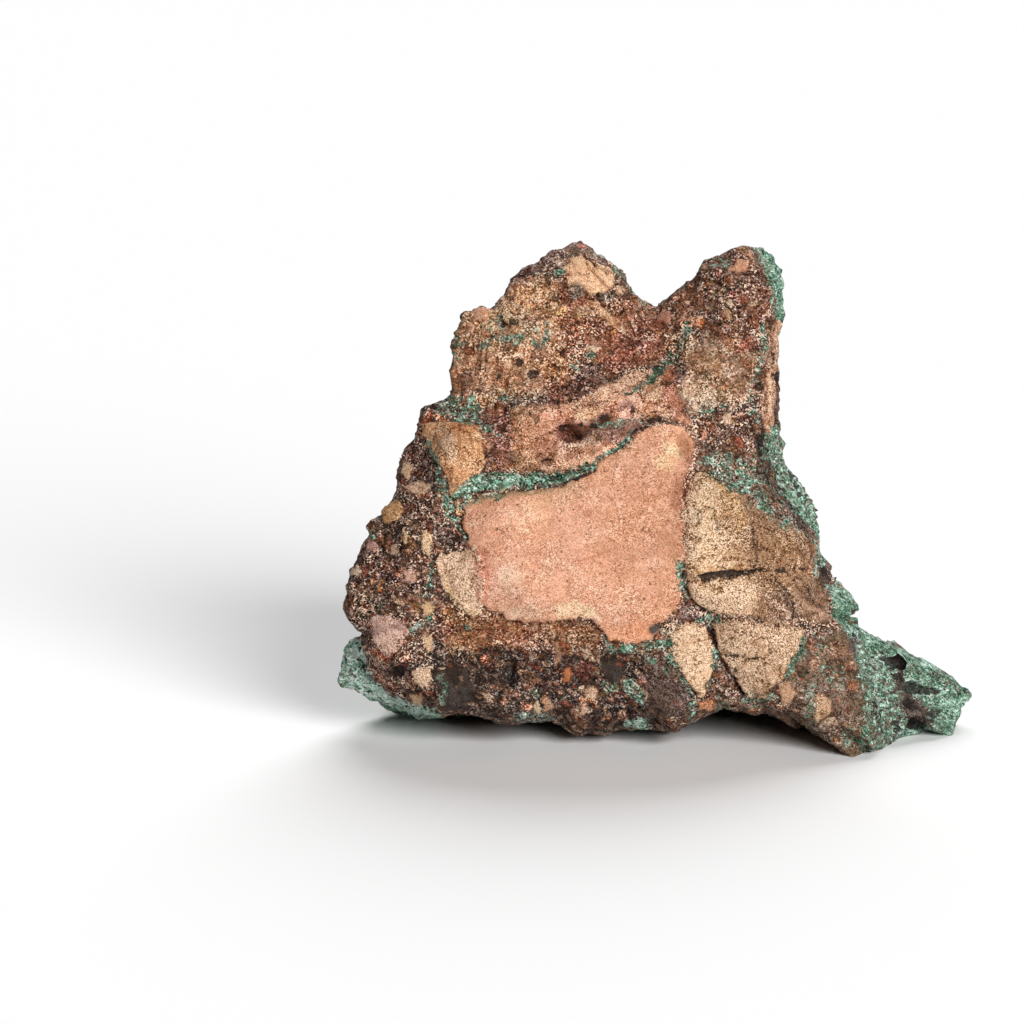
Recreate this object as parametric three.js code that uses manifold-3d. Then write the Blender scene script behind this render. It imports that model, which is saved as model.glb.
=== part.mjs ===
// Aragonite on malachite, a hand specimen that stands on its own base.
//
// It is one natural piece: a block of breccia (angular clasts in a sandy matrix, cut by malachite
// seams) whose far side and flanks carry a crust of malachite, with sprays of aragonite crystals
// grown on that crust. So the whole specimen is one solid in one mesh.
//
// The form is surveyed square on to its broken face. The survey sheet has x to the right and y
// down; depth is in millimetres, positive towards the viewer, and zero is the plane of the large
// slab in the middle of the face. A field of signed distances built from the survey is meshed on a
// grid, and the narrow features (fissures, vugs, crystals) are cut or joined as faceted solids.
// The face then leans back, and the part is cut flat where it stands.

import * as THREE from "three";
import { mergeVertices } from "three/addons/utils/BufferGeometryUtils.js";
import Module from "manifold-3d";

// ---- Driving dimensions, in millimetres and degrees ----

const SPECIMEN_WIDTH = 110; // tip of the left skirt to the tip of the tail
const FACE_LEAN_DEG = 12; // the broken face leans back from upright by this much
const BASE_LIFT = 0.6; // raises the leaning body so that its foot just meets the ground
const CELL = 3; // grid spacing of the meshed body
const SHORTEST_EDGE = 0.5; // shorter edges, left by the cuts, are drawn together
const MOST_TURNED = 0.2; // least cosine by which drawing an edge together may turn a face
const FILLED_DEPTH = 0.2; // how deep inside a filled grid corner lies, as a share of a cell
const EDGE_ROUND = 2.6; // how broadly the face rolls over into the flanks
const WIDEST_BEHIND_FACE = 4; // the outline is widest this far behind the face
const FLANK_TAPER = 0.42; // how fast the flanks draw in towards the far side
const OUTLINE_GROWTH = 0.6; // makes up for what the rolled edge takes off the outline
const RIM_CLEAR = 9; // roughness keeps off the outline over this depth
const UNDERSIDE = 12; // the outline below this height is the underside, which doesn't draw in
const DEEPEST = -68; // the meshed region's depth, behind the far side
const PROBE_STEP = 0.25; // how finely the far side's surface is searched for
const SHALLOWEST = 10; // and in front of the face

// Where the part's origin lies in the standing specimen, so that it is centred over its base.
const ORIGIN_RIGHT = 0.22;
const ORIGIN_BACK = 32.53;

// ---- The survey sheet ----

const SHEET_LEFT = 335;
const SHEET_RIGHT = 969;
const SHEET_MIDDLE = 650; // x of the part's own zero
const SHEET_FOOT = 757; // y of the lowest point
const SHEET_TOP = 240;
const SQUARE = SPECIMEN_WIDTH / (SHEET_RIGHT - SHEET_LEFT); // millimetres per sheet square

const fromSheet = ([x, y]) => [(x - SHEET_MIDDLE) * SQUARE, (SHEET_FOOT - y) * SQUARE];

// The outline, clockwise from the left shoulder of the left peak.
const OUTLINE = [
  [497, 303], [510, 283], [523, 268], [541, 257], [547, 250], [566, 245], [580, 241],
  [590, 246], [591, 251], [603, 255], [614, 265], [624, 271], [632, 288], [645, 299],
  [657, 306], [672, 293], [690, 278], [698, 275], [703, 262], [711, 256], [724, 254],
  [747, 245], [762, 247], [773, 254], [781, 270], [785, 290], [786, 312], [781, 345],
  [780, 400], [783, 440], [786, 456], [800, 478], [813, 501], [819, 528], [821, 549],
  [839, 580], [851, 587], [864, 604], [859, 614], [885, 633], [929, 656], [945, 658],
  [953, 669], [968, 678], [975, 694], [963, 718], [959, 742], [929, 736], [904, 742],
  [887, 752], [852, 760], [832, 750], [807, 733], [782, 722], [757, 715], [728, 709],
  [697, 722], [673, 733], [625, 728], [602, 736], [574, 735], [545, 723], [502, 725],
  [477, 717], [452, 715], [425, 720], [388, 711], [355, 692], [335, 682], [342, 655],
  [348, 641], [356, 636], [344, 612], [347, 580], [358, 552], [367, 525], [392, 495],
  [399, 462], [413, 434], [417, 412], [430, 401], [448, 396], [450, 352], [457, 324],
  [462, 311], [482, 305],
].map(fromSheet);

// The same outline with its underside carried far down.
const SIDES = OUTLINE.map(([u, v]) => [u, v < UNDERSIDE ? v - SPECIMEN_WIDTH : v]);

// Spot depths of the broken face: sheet x, sheet y, depth.
const FACE_SPOTS = [
  [580, 245, -9], [520, 275, -8], [570, 290, -5], [625, 280, -9], [470, 315, -8], [455, 360, -7],
  [500, 350, -3], [560, 350, -2.5], [610, 350, -4], [650, 312, -9], [640, 350, -5.5],
  [748, 250, -9], [710, 275, -6], [745, 300, -3], [690, 300, -7], [775, 330, -7],
  [720, 345, -2], [690, 350, -3.5], [705, 395, -0.5], [750, 400, -2.5], [775, 430, -7],
  [430, 408, -6], [470, 400, -4.5], [450, 460, -1.5], [405, 460, -7], [375, 525, -7.5],
  [540, 420, 0], [600, 410, -0.5], [650, 395, -1], [500, 440, -1],
  [520, 540, 0], [600, 500, 0], [660, 460, -0.5], [640, 580, 0.4], [560, 590, 0.5],
  [420, 540, -3], [360, 570, -7.5], [400, 600, -3], [355, 615, -7], [420, 660, -2.5], [390, 690, -7],
  [480, 650, -1.5], [540, 660, -1.5], [600, 670, -1.5], [470, 705, -4], [560, 715, -5], [620, 715, -5],
  [650, 680, -2], [700, 540, 0.5], [760, 560, -1], [810, 560, -4.5], [760, 640, -1], [690, 660, -0.5],
  [740, 470, -2], [780, 490, -6], [730, 700, -3.5], [800, 690, -1.5], [840, 700, -1], [850, 745, -3],
  [845, 640, -5], [875, 690, -5], [900, 655, -13], [905, 700, -11], [940, 690, -17], [965, 695, -22],
  [845, 600, -12], [885, 640, -14], [925, 668, -17], [945, 730, -20],
];

// Spot depths of the far side, which is thick over the base and thin at the peaks and the tail.
const BACK_SPOTS = [
  [580, 250, -23], [745, 255, -22], [655, 315, -26], [470, 330, -27], [560, 330, -32],
  [720, 340, -31], [780, 350, -25], [430, 430, -33], [540, 430, -40], [640, 430, -40],
  [740, 430, -37], [380, 540, -36], [480, 540, -44], [600, 540, -47], [700, 540, -45],
  [790, 530, -38], [360, 650, -40], [440, 650, -46], [560, 650, -50], [660, 650, -50],
  [760, 650, -46], [850, 650, -38], [920, 680, -33], [960, 700, -31], [440, 715, -47],
  [600, 730, -50], [750, 720, -48], [850, 750, -41],
];

// Clasts and steps of the face: each stands proud of the spot depths by rise, or lies below them
// where rise is negative, and its edge slopes over the width edge. Smooth ones are hardly rough.
const STEPS = [
  {
    name: "slab", smooth: true, rise: 1.3, edge: 1.6,
    outline: [
      [458, 500], [490, 494], [540, 490], [575, 482], [603, 464], [640, 438], [668, 423], [688, 427],
      [690, 470], [685, 540], [681, 604], [662, 622], [640, 641], [612, 638], [594, 617], [560, 618],
      [510, 612], [484, 598], [468, 545],
    ],
  },
  {
    name: "cream_wedge", smooth: true, rise: 1.1, edge: 1.4,
    outline: [[440, 560], [474, 552], [480, 618], [463, 617], [444, 586]],
  },
  {
    name: "boulder", smooth: true, rise: 3.6, edge: 4.6,
    outline: [
      [702, 468], [688, 488], [684, 545], [685, 590], [702, 612], [745, 622], [800, 620], [823, 604],
      [820, 550], [778, 521], [742, 506], [718, 484],
    ],
  },
  {
    name: "left_fragment", rise: 2, edge: 1.6,
    outline: [[667, 640], [682, 624], [704, 628], [716, 660], [698, 701], [684, 670]],
  },
  {
    name: "lower_fragment", rise: 1.9, edge: 1.8,
    outline: [[716, 640], [738, 620], [800, 624], [800, 650], [786, 684], [756, 698], [732, 672]],
  },
  {
    name: "ochre_block", rise: 2.2, edge: 1.4,
    outline: [[418, 424], [478, 424], [487, 452], [458, 490], [446, 492], [428, 452]],
  },
  {
    name: "upper_ledge", rise: 1.6, edge: 1.6,
    outline: [
      [486, 470], [560, 466], [600, 448], [640, 418], [684, 398], [640, 380], [560, 400], [505, 412],
    ],
  },
  {
    name: "pink_clast", rise: 1.6, edge: 1.8,
    outline: [[366, 628], [380, 616], [418, 630], [400, 662], [376, 660]],
  },
  {
    name: "peak_clast", rise: 1.5, edge: 1.6,
    outline: [[560, 270], [580, 254], [604, 262], [620, 284], [596, 288]],
  },
  {
    name: "dark_plate", rise: 1.1, edge: 1.4,
    outline: [[437, 694], [448, 668], [474, 668], [486, 706], [476, 722], [440, 722]],
  },
  {
    name: "left_skirt", rise: -8, edge: 3,
    outline: [
      [320, 620], [354, 634], [368, 656], [376, 680], [404, 705], [440, 714], [440, 740], [380, 730],
      [320, 700],
    ],
  },
  {
    name: "right_rim", rise: -7, edge: 2.4,
    outline: [[758, 235], [764, 258], [774, 284], [776, 316], [796, 316], [800, 235]],
  },
  {
    name: "right_flank", rise: -8, edge: 2.6,
    outline: [
      [770, 436], [768, 456], [784, 492], [806, 522], [820, 548], [824, 590], [850, 604], [880, 600],
      [840, 500], [796, 436],
    ],
  },
  {
    name: "tail", rise: -4, edge: 2.6,
    outline: [[840, 600], [856, 640], [872, 690], [882, 730], [880, 765], [990, 765], [990, 600]],
  },
].map((step) => ({ ...step, outline: step.outline.map(fromSheet) }));

// Open fissures: their line on the sheet, width, and depth below the face.
const FISSURES = [
  {
    name: "malachite_seam", width: 2.2, depth: 2,
    line: [[470, 484], [500, 481], [545, 480], [580, 471], [610, 452], [640, 428], [668, 412]],
  },
  {
    name: "upper_seam", width: 1.5, depth: 1.5,
    line: [[688, 326], [680, 346], [660, 368], [630, 390]],
  },
  { name: "slot", width: 1.4, depth: 3.4, line: [[696, 578], [745, 575], [780, 570], [818, 572]] },
  {
    name: "boulder_gap", width: 1.8, depth: 2.6,
    line: [[680, 566], [683, 594], [700, 613], [728, 620]],
  },
  { name: "fragment_gap", width: 1.4, depth: 1.8, line: [[708, 628], [718, 656], [740, 690]] },
];

// Vugs and pits: sheet x and y, half widths across and up the sheet in squares, depth.
const PITS = [
  [572, 433, 15, 9, 3.2], [596, 420, 8, 5, 1.8], [628, 409, 9, 5, 1.6], [535, 374, 8, 6, 1.6],
  [508, 672, 10, 17, 3], [610, 664, 10, 12, 1.8], [896, 662, 12, 8, 3.4], [920, 690, 14, 6, 3.2],
  [910, 704, 9, 6, 2.6], [918, 723, 8, 7, 3.2], [857, 637, 9, 5, 2.4],
];

// Aragonite sprays on the far side: sheet x and y, and how many crystals each has.
const SPRAYS = [
  [480, 470, 7], [560, 600, 10], [660, 440, 8], [735, 590, 9],
];
const CRYSTAL_LENGTH = [5, 9.5];
const CRYSTAL_WIDTH = [1.5, 2.6];
const CRYSTAL_ROOT = 3.4; // how deep a crystal is rooted in the crust
const CRYSTAL_SHOULDER = 0.72; // where its point begins, as a share of its length
const CRYSTAL_FOOT = 0.8; // width of its foot, as a share of its width
const SPRAY_FAN = 0.85; // how far the outermost crystals lean out, against straight up
const SPRAY_SPREAD = 4.2; // how far a crystal's foot lies from the middle of its spray

// Rounded masses of the malachite crust on the far side.
const MOUND_COUNT = 90;
const MOUND_RADIUS = [5, 10];
const MOUND_RISE = 0.42; // height of a mound over its radius

// Roughness of the whole surface: a gentle swell, and broken blocks with a plane of their own each.
const SWELL_WAVE = 15;
const SWELL_HEIGHT = 1.1;
const CHIP_SIZE = 9;
const CHIP_HEIGHT = 0.9;
const CHIP_TILT = 0.34; // slope of a chip's plane against the surface
const CHIP_SCATTER = 0.45; // how far a chip's middle strays, as a share of the size
const FLANK_ROUGHNESS = 0.7; // share of the roughness that wears into the flanks
const FLANK_WEAR = 0.4; // and what is worn off them evenly
const FACE_ROUGHNESS = 0.75; // share of the roughness that the face has
const FAR_ROUGHNESS = 0.4; // and the far side, under its crust
const CALM = 0.8; // the share of the roughness that smooth clasts are spared

// ---- Small mathematics ----

const clamp01 = (t) => Math.min(1, Math.max(0, t));
const smoothstep = (t) => clamp01(t) ** 2 * (3 - 2 * clamp01(t));
const mix = (a, b, t) => a + (b - a) * t;

// The larger of two values, blended over the width k where they are close.
function smoothMax(a, b, k) {
  const h = Math.max(0, 1 - Math.abs(a - b) / k);
  return Math.max(a, b) + (h * h * k) / 4;
}

// A repeatable stream of numbers from 0 to 1.
function stream(seed) {
  let state = seed;
  return () => {
    state = (Math.imul(state, 1664525) + 1013904223) >>> 0;
    return state / 2 ** 32;
  };
}

function latticeValue(i, j, k) {
  let h = (Math.imul(i, 374761393) + Math.imul(j, 668265263) + Math.imul(k, 1274126177)) | 0;
  h = Math.imul(h ^ (h >>> 13), 1274126177);
  return ((h ^ (h >>> 16)) >>> 0) / 2 ** 31 - 1;
}

// Smooth noise from -1 to 1 that varies over about one unit.
function noise(x, y, z) {
  const [i, j, k] = [Math.floor(x), Math.floor(y), Math.floor(z)];
  const [a, b, c] = [smoothstep(x - i), smoothstep(y - j), smoothstep(z - k)];
  const edge = (jj, kk) => mix(latticeValue(i, jj, kk), latticeValue(i + 1, jj, kk), a);
  return mix(mix(edge(j, k), edge(j + 1, k), b), mix(edge(j, k + 1), edge(j + 1, k + 1), b), c);
}

const THREE_WAYS = [-1, 0, 1];
const NEIGHBOUR_STEPS = THREE_WAYS.flatMap((i) =>
  THREE_WAYS.flatMap((j) => THREE_WAYS.map((k) => [i, j, k])),
);

// Height of the broken blocks: space is parted round scattered middles, and the nearest one counts.
function chips(...point) {
  const home = point.map((value) => Math.floor(value / CHIP_SIZE));
  let nearest = Infinity;
  let height = 0;
  for (const step of NEIGHBOUR_STEPS) {
    const [i, j, k] = home.map((value, axis) => value + step[axis]);
    const stray = (axis) => CHIP_SCATTER * latticeValue(i + 31 * (axis + 1), j, k);
    const offset = point.map(
      (value, axis) => value - (home[axis] + step[axis] + 0.5 + stray(axis)) * CHIP_SIZE,
    );
    const distance = Math.hypot(...offset);
    if (distance > nearest) continue;
    nearest = distance;
    height = CHIP_HEIGHT * latticeValue(i, j + 57, k);
    offset.forEach((value, axis) => {
      height += CHIP_TILT * value * latticeValue(i, j, k + 83 * (axis + 1));
    });
  }
  return height;
}

function roughness(u, v, w) {
  const swell = noise(u / SWELL_WAVE, v / SWELL_WAVE, w / SWELL_WAVE);
  return SWELL_HEIGHT * swell + chips(u, v, w);
}

// Distance to a closed outline, negative inside it.
function outlineDistance(outline, u, v) {
  let nearest = Infinity;
  let inside = false;
  outline.forEach(([ax, ay], i) => {
    const [bx, by] = outline[(i + 1) % outline.length];
    const along = clamp01(
      ((u - ax) * (bx - ax) + (v - ay) * (by - ay)) / ((bx - ax) ** 2 + (by - ay) ** 2),
    );
    nearest = Math.min(nearest, Math.hypot(u - mix(ax, bx, along), v - mix(ay, by, along)));
    if (ay > v !== by > v && u < ax + ((v - ay) * (bx - ax)) / (by - ay)) inside = !inside;
  });
  return inside ? -nearest : nearest;
}

// Depth between scattered spots: each counts by the inverse fourth power of its distance.
function spotDepth(spots, u, v) {
  let sum = 0;
  let weights = 0;
  for (const [x, y, depth] of spots) {
    const [su, sv] = fromSheet([x, y]);
    const weight = 1 / ((u - su) ** 2 + (v - sv) ** 2 + 4) ** 2;
    sum += weight * depth;
    weights += weight;
  }
  return sum / weights;
}

// ---- The body, as a field that is negative inside ----

const between = ([low, high], t) => mix(low, high, t);

const MOUNDS = (() => {
  const next = stream(20);
  const left = fromSheet([SHEET_LEFT, 0])[0];
  const height = fromSheet([0, SHEET_TOP])[1];
  return Array.from({ length: MOUND_COUNT }, () => ({
    u: left + SPECIMEN_WIDTH * next(),
    v: height * next(),
    radius: between(MOUND_RADIUS, next()),
  }));
})();

// How far the mounds stand out of the crust: the highest one counts, so creases stay between them.
function moundRise(u, v) {
  return MOUNDS.reduce((best, mound) => {
    const share = 1 - ((u - mound.u) ** 2 + (v - mound.v) ** 2) / mound.radius ** 2;
    return Math.max(best, MOUND_RISE * mound.radius * share);
  }, 0);
}

// What one column of the body, square on to the face, needs at every depth.
function columnAt(u, v) {
  let [rise, sunk, calm] = [0, 0, 0];
  for (const step of STEPS) {
    const share = smoothstep(0.5 - outlineDistance(step.outline, u, v) / step.edge);
    rise += share * step.rise;
    sunk += share * Math.min(0, step.rise);
    if (step.smooth) calm = Math.max(calm, share);
  }
  const level = spotDepth(FACE_SPOTS, u, v);
  return {
    outline: outlineDistance(OUTLINE, u, v) - OUTLINE_GROWTH,
    face: level + rise,
    calm,
    widest: level + sunk - WIDEST_BEHIND_FACE,
    back: spotDepth(BACK_SPOTS, u, v) - moundRise(u, v),
    sides: outlineDistance(SIDES, u, v) - OUTLINE_GROWTH,
  };
}

// The flanks only wear inwards, because the outline is as wide as the specimen gets.
const wear = (rough) => Math.max(0, FLANK_ROUGHNESS * rough + FLANK_WEAR);

function bodyField(column, u, v, w) {
  const rough = roughness(u, v, w);
  const behind = column.widest - w;
  const worn = smoothstep(Math.abs(behind) / RIM_CLEAR) * wear(rough);
  const sides = column.sides + FLANK_TAPER * Math.max(0, behind) + worn;
  const flank = Math.max(column.outline, sides);
  const face = w - column.face - (1 - CALM * column.calm) * FACE_ROUGHNESS * rough;
  const back = column.back - w + FAR_ROUGHNESS * rough;
  return smoothMax(smoothMax(flank, face, EDGE_ROUND), back, 2 * EDGE_ROUND);
}

// Depth of the far side's surface in a column.
function farSurface(u, v) {
  const column = columnAt(u, v);
  let w = DEEPEST;
  while (bodyField(column, u, v, w) > 0) w += PROBE_STEP;
  return w;
}

// ---- Meshing: one vertex in each grid cell that the surface crosses ----

function meshField(low, high, cell) {
  const counts = low.map((value, axis) => Math.ceil((high[axis] - value) / cell) + 1);
  const [nx, ny, nz] = counts;
  const at = (i, j, k) => i + nx * (j + ny * k);
  const values = new Float32Array(nx * ny * nz);
  for (let j = 0; j < ny; j++)
    for (let i = 0; i < nx; i++) {
      const [u, v] = [low[0] + i * cell, low[1] + j * cell];
      const column = columnAt(u, v);
      for (let k = 0; k < nz; k++) values[at(i, j, k)] = bodyField(column, u, v, low[2] + k * cell);
    }

  // Where only the two ends of a grid square's diagonal are inside, a third corner is taken in,
  // because the surface would touch itself there.
  const strides = [1, nx, nx * ny];
  const squares = [[0, 1], [1, 2], [2, 0]].map(([s, t]) => [strides[s], strides[t]]);
  function fillDiagonals() {
    let filled = 0;
    for (let here = 0; here < values.length; here++)
      for (const [s, t] of squares) {
        const corners = [here, here + s + t, here + s, here + t];
        const [a, b, c, d] = corners.map((n) => values[n] < 0);
        if (a !== b || c !== d || a === c) continue;
        const outer = corners.filter((n) => values[n] >= 0);
        const nearest = values[outer[0]] < values[outer[1]] ? outer[0] : outer[1];
        values[nearest] = -FILLED_DEPTH * cell;
        filled++;
      }
    return filled;
  }
  while (fillDiagonals() > 0);

  // Grid points inside the surface but cut off from the body's middle count as outside.
  const reached = new Set([at(...counts.map((n) => n >> 1))]);
  for (const here of reached)
    for (const stride of strides)
      for (const there of [here - stride, here + stride]) if (values[there] < 0) reached.add(there);
  values.forEach((value, n) => {
    if (value < 0 && !reached.has(n)) values[n] = -value;
  });

  const positions = [];
  const vertexOf = new Map();
  const corner = (n) => [n & 1, (n >> 1) & 1, (n >> 2) & 1];
  const cellEdges = [];
  for (let a = 0; a < 8; a++)
    for (const bit of [1, 2, 4]) if (!(a & bit)) cellEdges.push([a, a | bit]);

  // The mean of the points where the surface crosses the cell's edges, or nothing.
  function cellVertex(i, j, k) {
    const sum = [0, 0, 0];
    let crossings = 0;
    for (const [a, b] of cellEdges) {
      const [pa, pb] = [corner(a), corner(b)];
      const va = values[at(i + pa[0], j + pa[1], k + pa[2])];
      const vb = values[at(i + pb[0], j + pb[1], k + pb[2])];
      if (va < 0 === vb < 0) continue;
      const t = va / (va - vb);
      crossings++;
      for (let axis = 0; axis < 3; axis++) sum[axis] += mix(pa[axis], pb[axis], t);
    }
    if (!crossings) return;
    vertexOf.set(at(i, j, k), positions.length / 3);
    [i, j, k].forEach((n, axis) => positions.push(low[axis] + (n + sum[axis] / crossings) * cell));
  }
  for (let k = 0; k < nz - 1; k++)
    for (let j = 0; j < ny - 1; j++) for (let i = 0; i < nx - 1; i++) cellVertex(i, j, k);

  // A quad of two triangles round each grid edge that the surface crosses.
  const indices = [];
  const steps = [[1, 0, 0], [0, 1, 0], [0, 0, 1]];
  for (let k = 1; k < nz - 1; k++)
    for (let j = 1; j < ny - 1; j++)
      for (let i = 1; i < nx - 1; i++)
        steps.forEach(([di, dj, dk], axis) => {
          const here = values[at(i, j, k)] < 0;
          if (here === values[at(i + di, j + dj, k + dk)] < 0) return;
          const [s, t] = [steps[(axis + 1) % 3], steps[(axis + 2) % 3]];
          const ring = [[0, 0], [1, 0], [1, 1], [0, 1]].map(([p, q]) =>
            vertexOf.get(
              at(i - p * s[0] - q * t[0], j - p * s[1] - q * t[1], k - p * s[2] - q * t[2]),
            ),
          );
          const [a, b, c, d] = here ? ring : ring.toReversed();
          indices.push(a, b, c, a, c, d);
        });
  return new THREE.BufferGeometry()
    .setAttribute("position", new THREE.Float32BufferAttribute(positions, 3))
    .setIndex(indices);
}

// ---- Joining and cutting ----

const wasm = await Module();
wasm.setup();

function solidOf(geometry) {
  const bare = geometry.clone();
  bare.deleteAttribute("normal");
  bare.deleteAttribute("uv");
  const merged = mergeVertices(bare, 1e-4);
  return new wasm.Manifold(
    new wasm.Mesh({
      numProp: 3,
      vertProperties: merged.attributes.position.array,
      triVerts: new Uint32Array(merged.index.array),
    }),
  );
}

function geometryOf(solid) {
  const mesh = solid.getMesh();
  const positions = new Float32Array(mesh.numVert * 3);
  for (let i = 0; i < mesh.numVert; i++)
    positions.set(mesh.vertProperties.subarray(i * mesh.numProp, i * mesh.numProp + 3), i * 3);
  return new THREE.BufferGeometry()
    .setAttribute("position", new THREE.BufferAttribute(positions, 3))
    .setIndex(new THREE.BufferAttribute(mesh.triVerts, 1));
}

// Draws together the two ends of every edge shorter than the limit, where that leaves the surface
// closed and turns no triangle over. The lower end stays, so the flat base stays flat.
function withoutShortEdges(geometry, limit) {
  const positions = geometry.attributes.position.array;
  const point = (n) => new THREE.Vector3().fromArray(positions, 3 * n);
  const faces = [];
  for (let i = 0; i < geometry.index.count; i += 3)
    faces.push(Array.from(geometry.index.array.subarray(i, i + 3)));
  const around = new Map();
  faces.forEach((face, f) => {
    for (const n of face) around.set(n, (around.get(n) ?? new Set()).add(f));
  });
  const neighbours = (n) => new Set([...around.get(n)].flatMap((f) => faces[f]));
  const normal = (face) => {
    const [a, b, c] = face.map(point);
    return b.sub(a).cross(c.sub(a));
  };

  function collapse(keep, drop) {
    const shared = [...around.get(keep)].filter((f) => faces[f].includes(drop));
    const common = [...neighbours(keep)].filter((n) => neighbours(drop).has(n));
    if (shared.length !== 2 || common.length !== 4) return false;
    const moved = [...around.get(drop)].filter((f) => !shared.includes(f));
    const renamed = (f) => faces[f].map((n) => (n === drop ? keep : n));
    const turnsOver = (f) => {
      const [before, after] = [normal(faces[f]), normal(renamed(f))];
      return before.dot(after) < MOST_TURNED * before.length() * after.length();
    };
    if (moved.length < 3 || moved.some(turnsOver)) return false;
    for (const f of moved) {
      faces[f] = renamed(f);
      around.get(keep).add(f);
    }
    for (const f of shared) {
      for (const n of faces[f]) around.get(n).delete(f);
      faces[f] = null;
    }
    around.delete(drop);
    return true;
  }

  let again = true;
  while (again) {
    again = false;
    for (let f = 0; f < faces.length; f++)
      for (let side = 0; side < 3 && faces[f]; side++) {
        const ends = [faces[f][side], faces[f][(side + 1) % 3]];
        const [keep, drop] = ends.sort((a, b) => positions[3 * a + 2] - positions[3 * b + 2]);
        if (point(keep).distanceTo(point(drop)) < limit && collapse(keep, drop)) again = true;
      }
  }
  const kept = faces.filter((face) => face);
  const used = [...around.keys()];
  const place = new Map(used.map((n, i) => [n, i]));
  return new THREE.BufferGeometry()
    .setAttribute(
      "position",
      new THREE.Float32BufferAttribute(used.flatMap((n) => point(n).toArray()), 3),
    )
    .setIndex(kept.flatMap((face) => face.map((n) => place.get(n))));
}

// ---- Narrow features, in the survey's own frame ----

// A diamond section swept along the fissure's line at the level of the face.
function fissureTool({ line, width, depth }) {
  const points = line.map((point) => {
    const [u, v] = fromSheet(point);
    return new THREE.Vector3(u, v, columnAt(u, v).face);
  });
  const section = new THREE.Shape([
    new THREE.Vector2(depth, 0),
    new THREE.Vector2(0, width / 2),
    new THREE.Vector2(-depth, 0),
    new THREE.Vector2(0, -width / 2),
  ]);
  return new THREE.ExtrudeGeometry(section, {
    steps: 3 * (line.length - 1),
    extrudePath: new THREE.CatmullRomCurve3(points),
  });
}

// A faceted ball flattened to the pit's size, sunk into the face.
function pitTool([x, y, across, up, depth], index) {
  const [u, v] = fromSheet([x, y]);
  const tool = new THREE.IcosahedronGeometry(1, 1);
  tool.rotateZ(index);
  tool.scale(across * SQUARE, up * SQUARE, depth);
  return tool.translate(u, v, columnAt(u, v).face);
}

// A six-sided crystal that narrows to a point, standing on its foot at the origin, along +Z.
function crystal(length, width) {
  const half = width / 2;
  const profile = [
    [0, -CRYSTAL_ROOT], [half * CRYSTAL_FOOT, -CRYSTAL_ROOT],
    [half, length * CRYSTAL_SHOULDER], [0, length],
  ];
  return new THREE.LatheGeometry(profile.map(([r, z]) => new THREE.Vector2(r, z)), 6).rotateX(
    Math.PI / 2,
  );
}

// Crystals that fan out of one spot on the far side.
function sprayTools([x, y, count], index) {
  const next = stream(101 + index);
  const [middleU, middleV] = fromSheet([x, y]);
  return Array.from({ length: count }, (_, n) => {
    const turn = (n / count) * 2 * Math.PI + next();
    const spread = Math.sqrt((n + 0.3) / count);
    const [across, up] = [spread * Math.cos(turn), spread * Math.sin(turn)];
    const [u, v] = [middleU + SPRAY_SPREAD * across, middleV + SPRAY_SPREAD * up];
    const out = new THREE.Vector3(SPRAY_FAN * across, SPRAY_FAN * up, -1).normalize();
    const tool = crystal(between(CRYSTAL_LENGTH, next()), between(CRYSTAL_WIDTH, next()));
    tool.applyQuaternion(
      new THREE.Quaternion().setFromUnitVectors(new THREE.Vector3(0, 0, 1), out),
    );
    return tool.translate(u, v, farSurface(u, v));
  });
}

// ---- The specimen ----

// Survey frame (right, up the face, out of the face) to the standing part (right, back, up).
function standUp() {
  const lean = THREE.MathUtils.degToRad(FACE_LEAN_DEG);
  const turn = new THREE.Matrix4().makeRotationX(Math.PI / 2 - lean);
  const place = new THREE.Matrix4().makeTranslation(-ORIGIN_RIGHT, -ORIGIN_BACK, BASE_LIFT);
  return place.multiply(turn);
}

// Everything below the ground, to be cut away.
function ground() {
  const size = 3 * SPECIMEN_WIDTH;
  return new THREE.BoxGeometry(size, size, size).translate(0, 0, -size / 2);
}

function buildSpecimen() {
  const [left, top] = fromSheet([SHEET_LEFT, SHEET_TOP]);
  const right = fromSheet([SHEET_RIGHT, 0])[0];
  const low = [left - 2 * CELL, -2 * CELL, DEEPEST];
  const high = [right + 2 * CELL, top + 2 * CELL, SHALLOWEST];
  let solid = solidOf(meshField(low, high, CELL));
  for (const fissure of FISSURES) solid = solid.subtract(solidOf(fissureTool(fissure)));
  for (const pit of PITS.map(pitTool)) solid = solid.subtract(solidOf(pit));
  for (const tool of SPRAYS.flatMap(sprayTools)) solid = solid.add(solidOf(tool));
  const standing = solidOf(geometryOf(solid).applyMatrix4(standUp()));
  return withoutShortEdges(geometryOf(standing.subtract(solidOf(ground()))), SHORTEST_EDGE);
}

const specimen = new THREE.Mesh(
  buildSpecimen(),
  new THREE.MeshStandardMaterial({ color: 0x8a6450, roughness: 0.9, metalness: 0 }),
);
specimen.name = "specimen";

const group = new THREE.Group();
group.add(specimen);

export default group;
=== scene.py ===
"""The looks of the aragonite on malachite specimen.

The specimen's solid is remeshed finely, fitted to its outline, given its relief, and painted by a
procedural material; sprays of aragonite crystals stand on its far side. Its face is surveyed on a
sheet: x to the right and y down in squares, as in the part's own source. Depth is in millimetres
towards the viewer, and so are u to the right and v up the face.
"""

import math

import bpy
import numpy as np
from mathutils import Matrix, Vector
from mathutils.bvhtree import BVHTree


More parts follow.
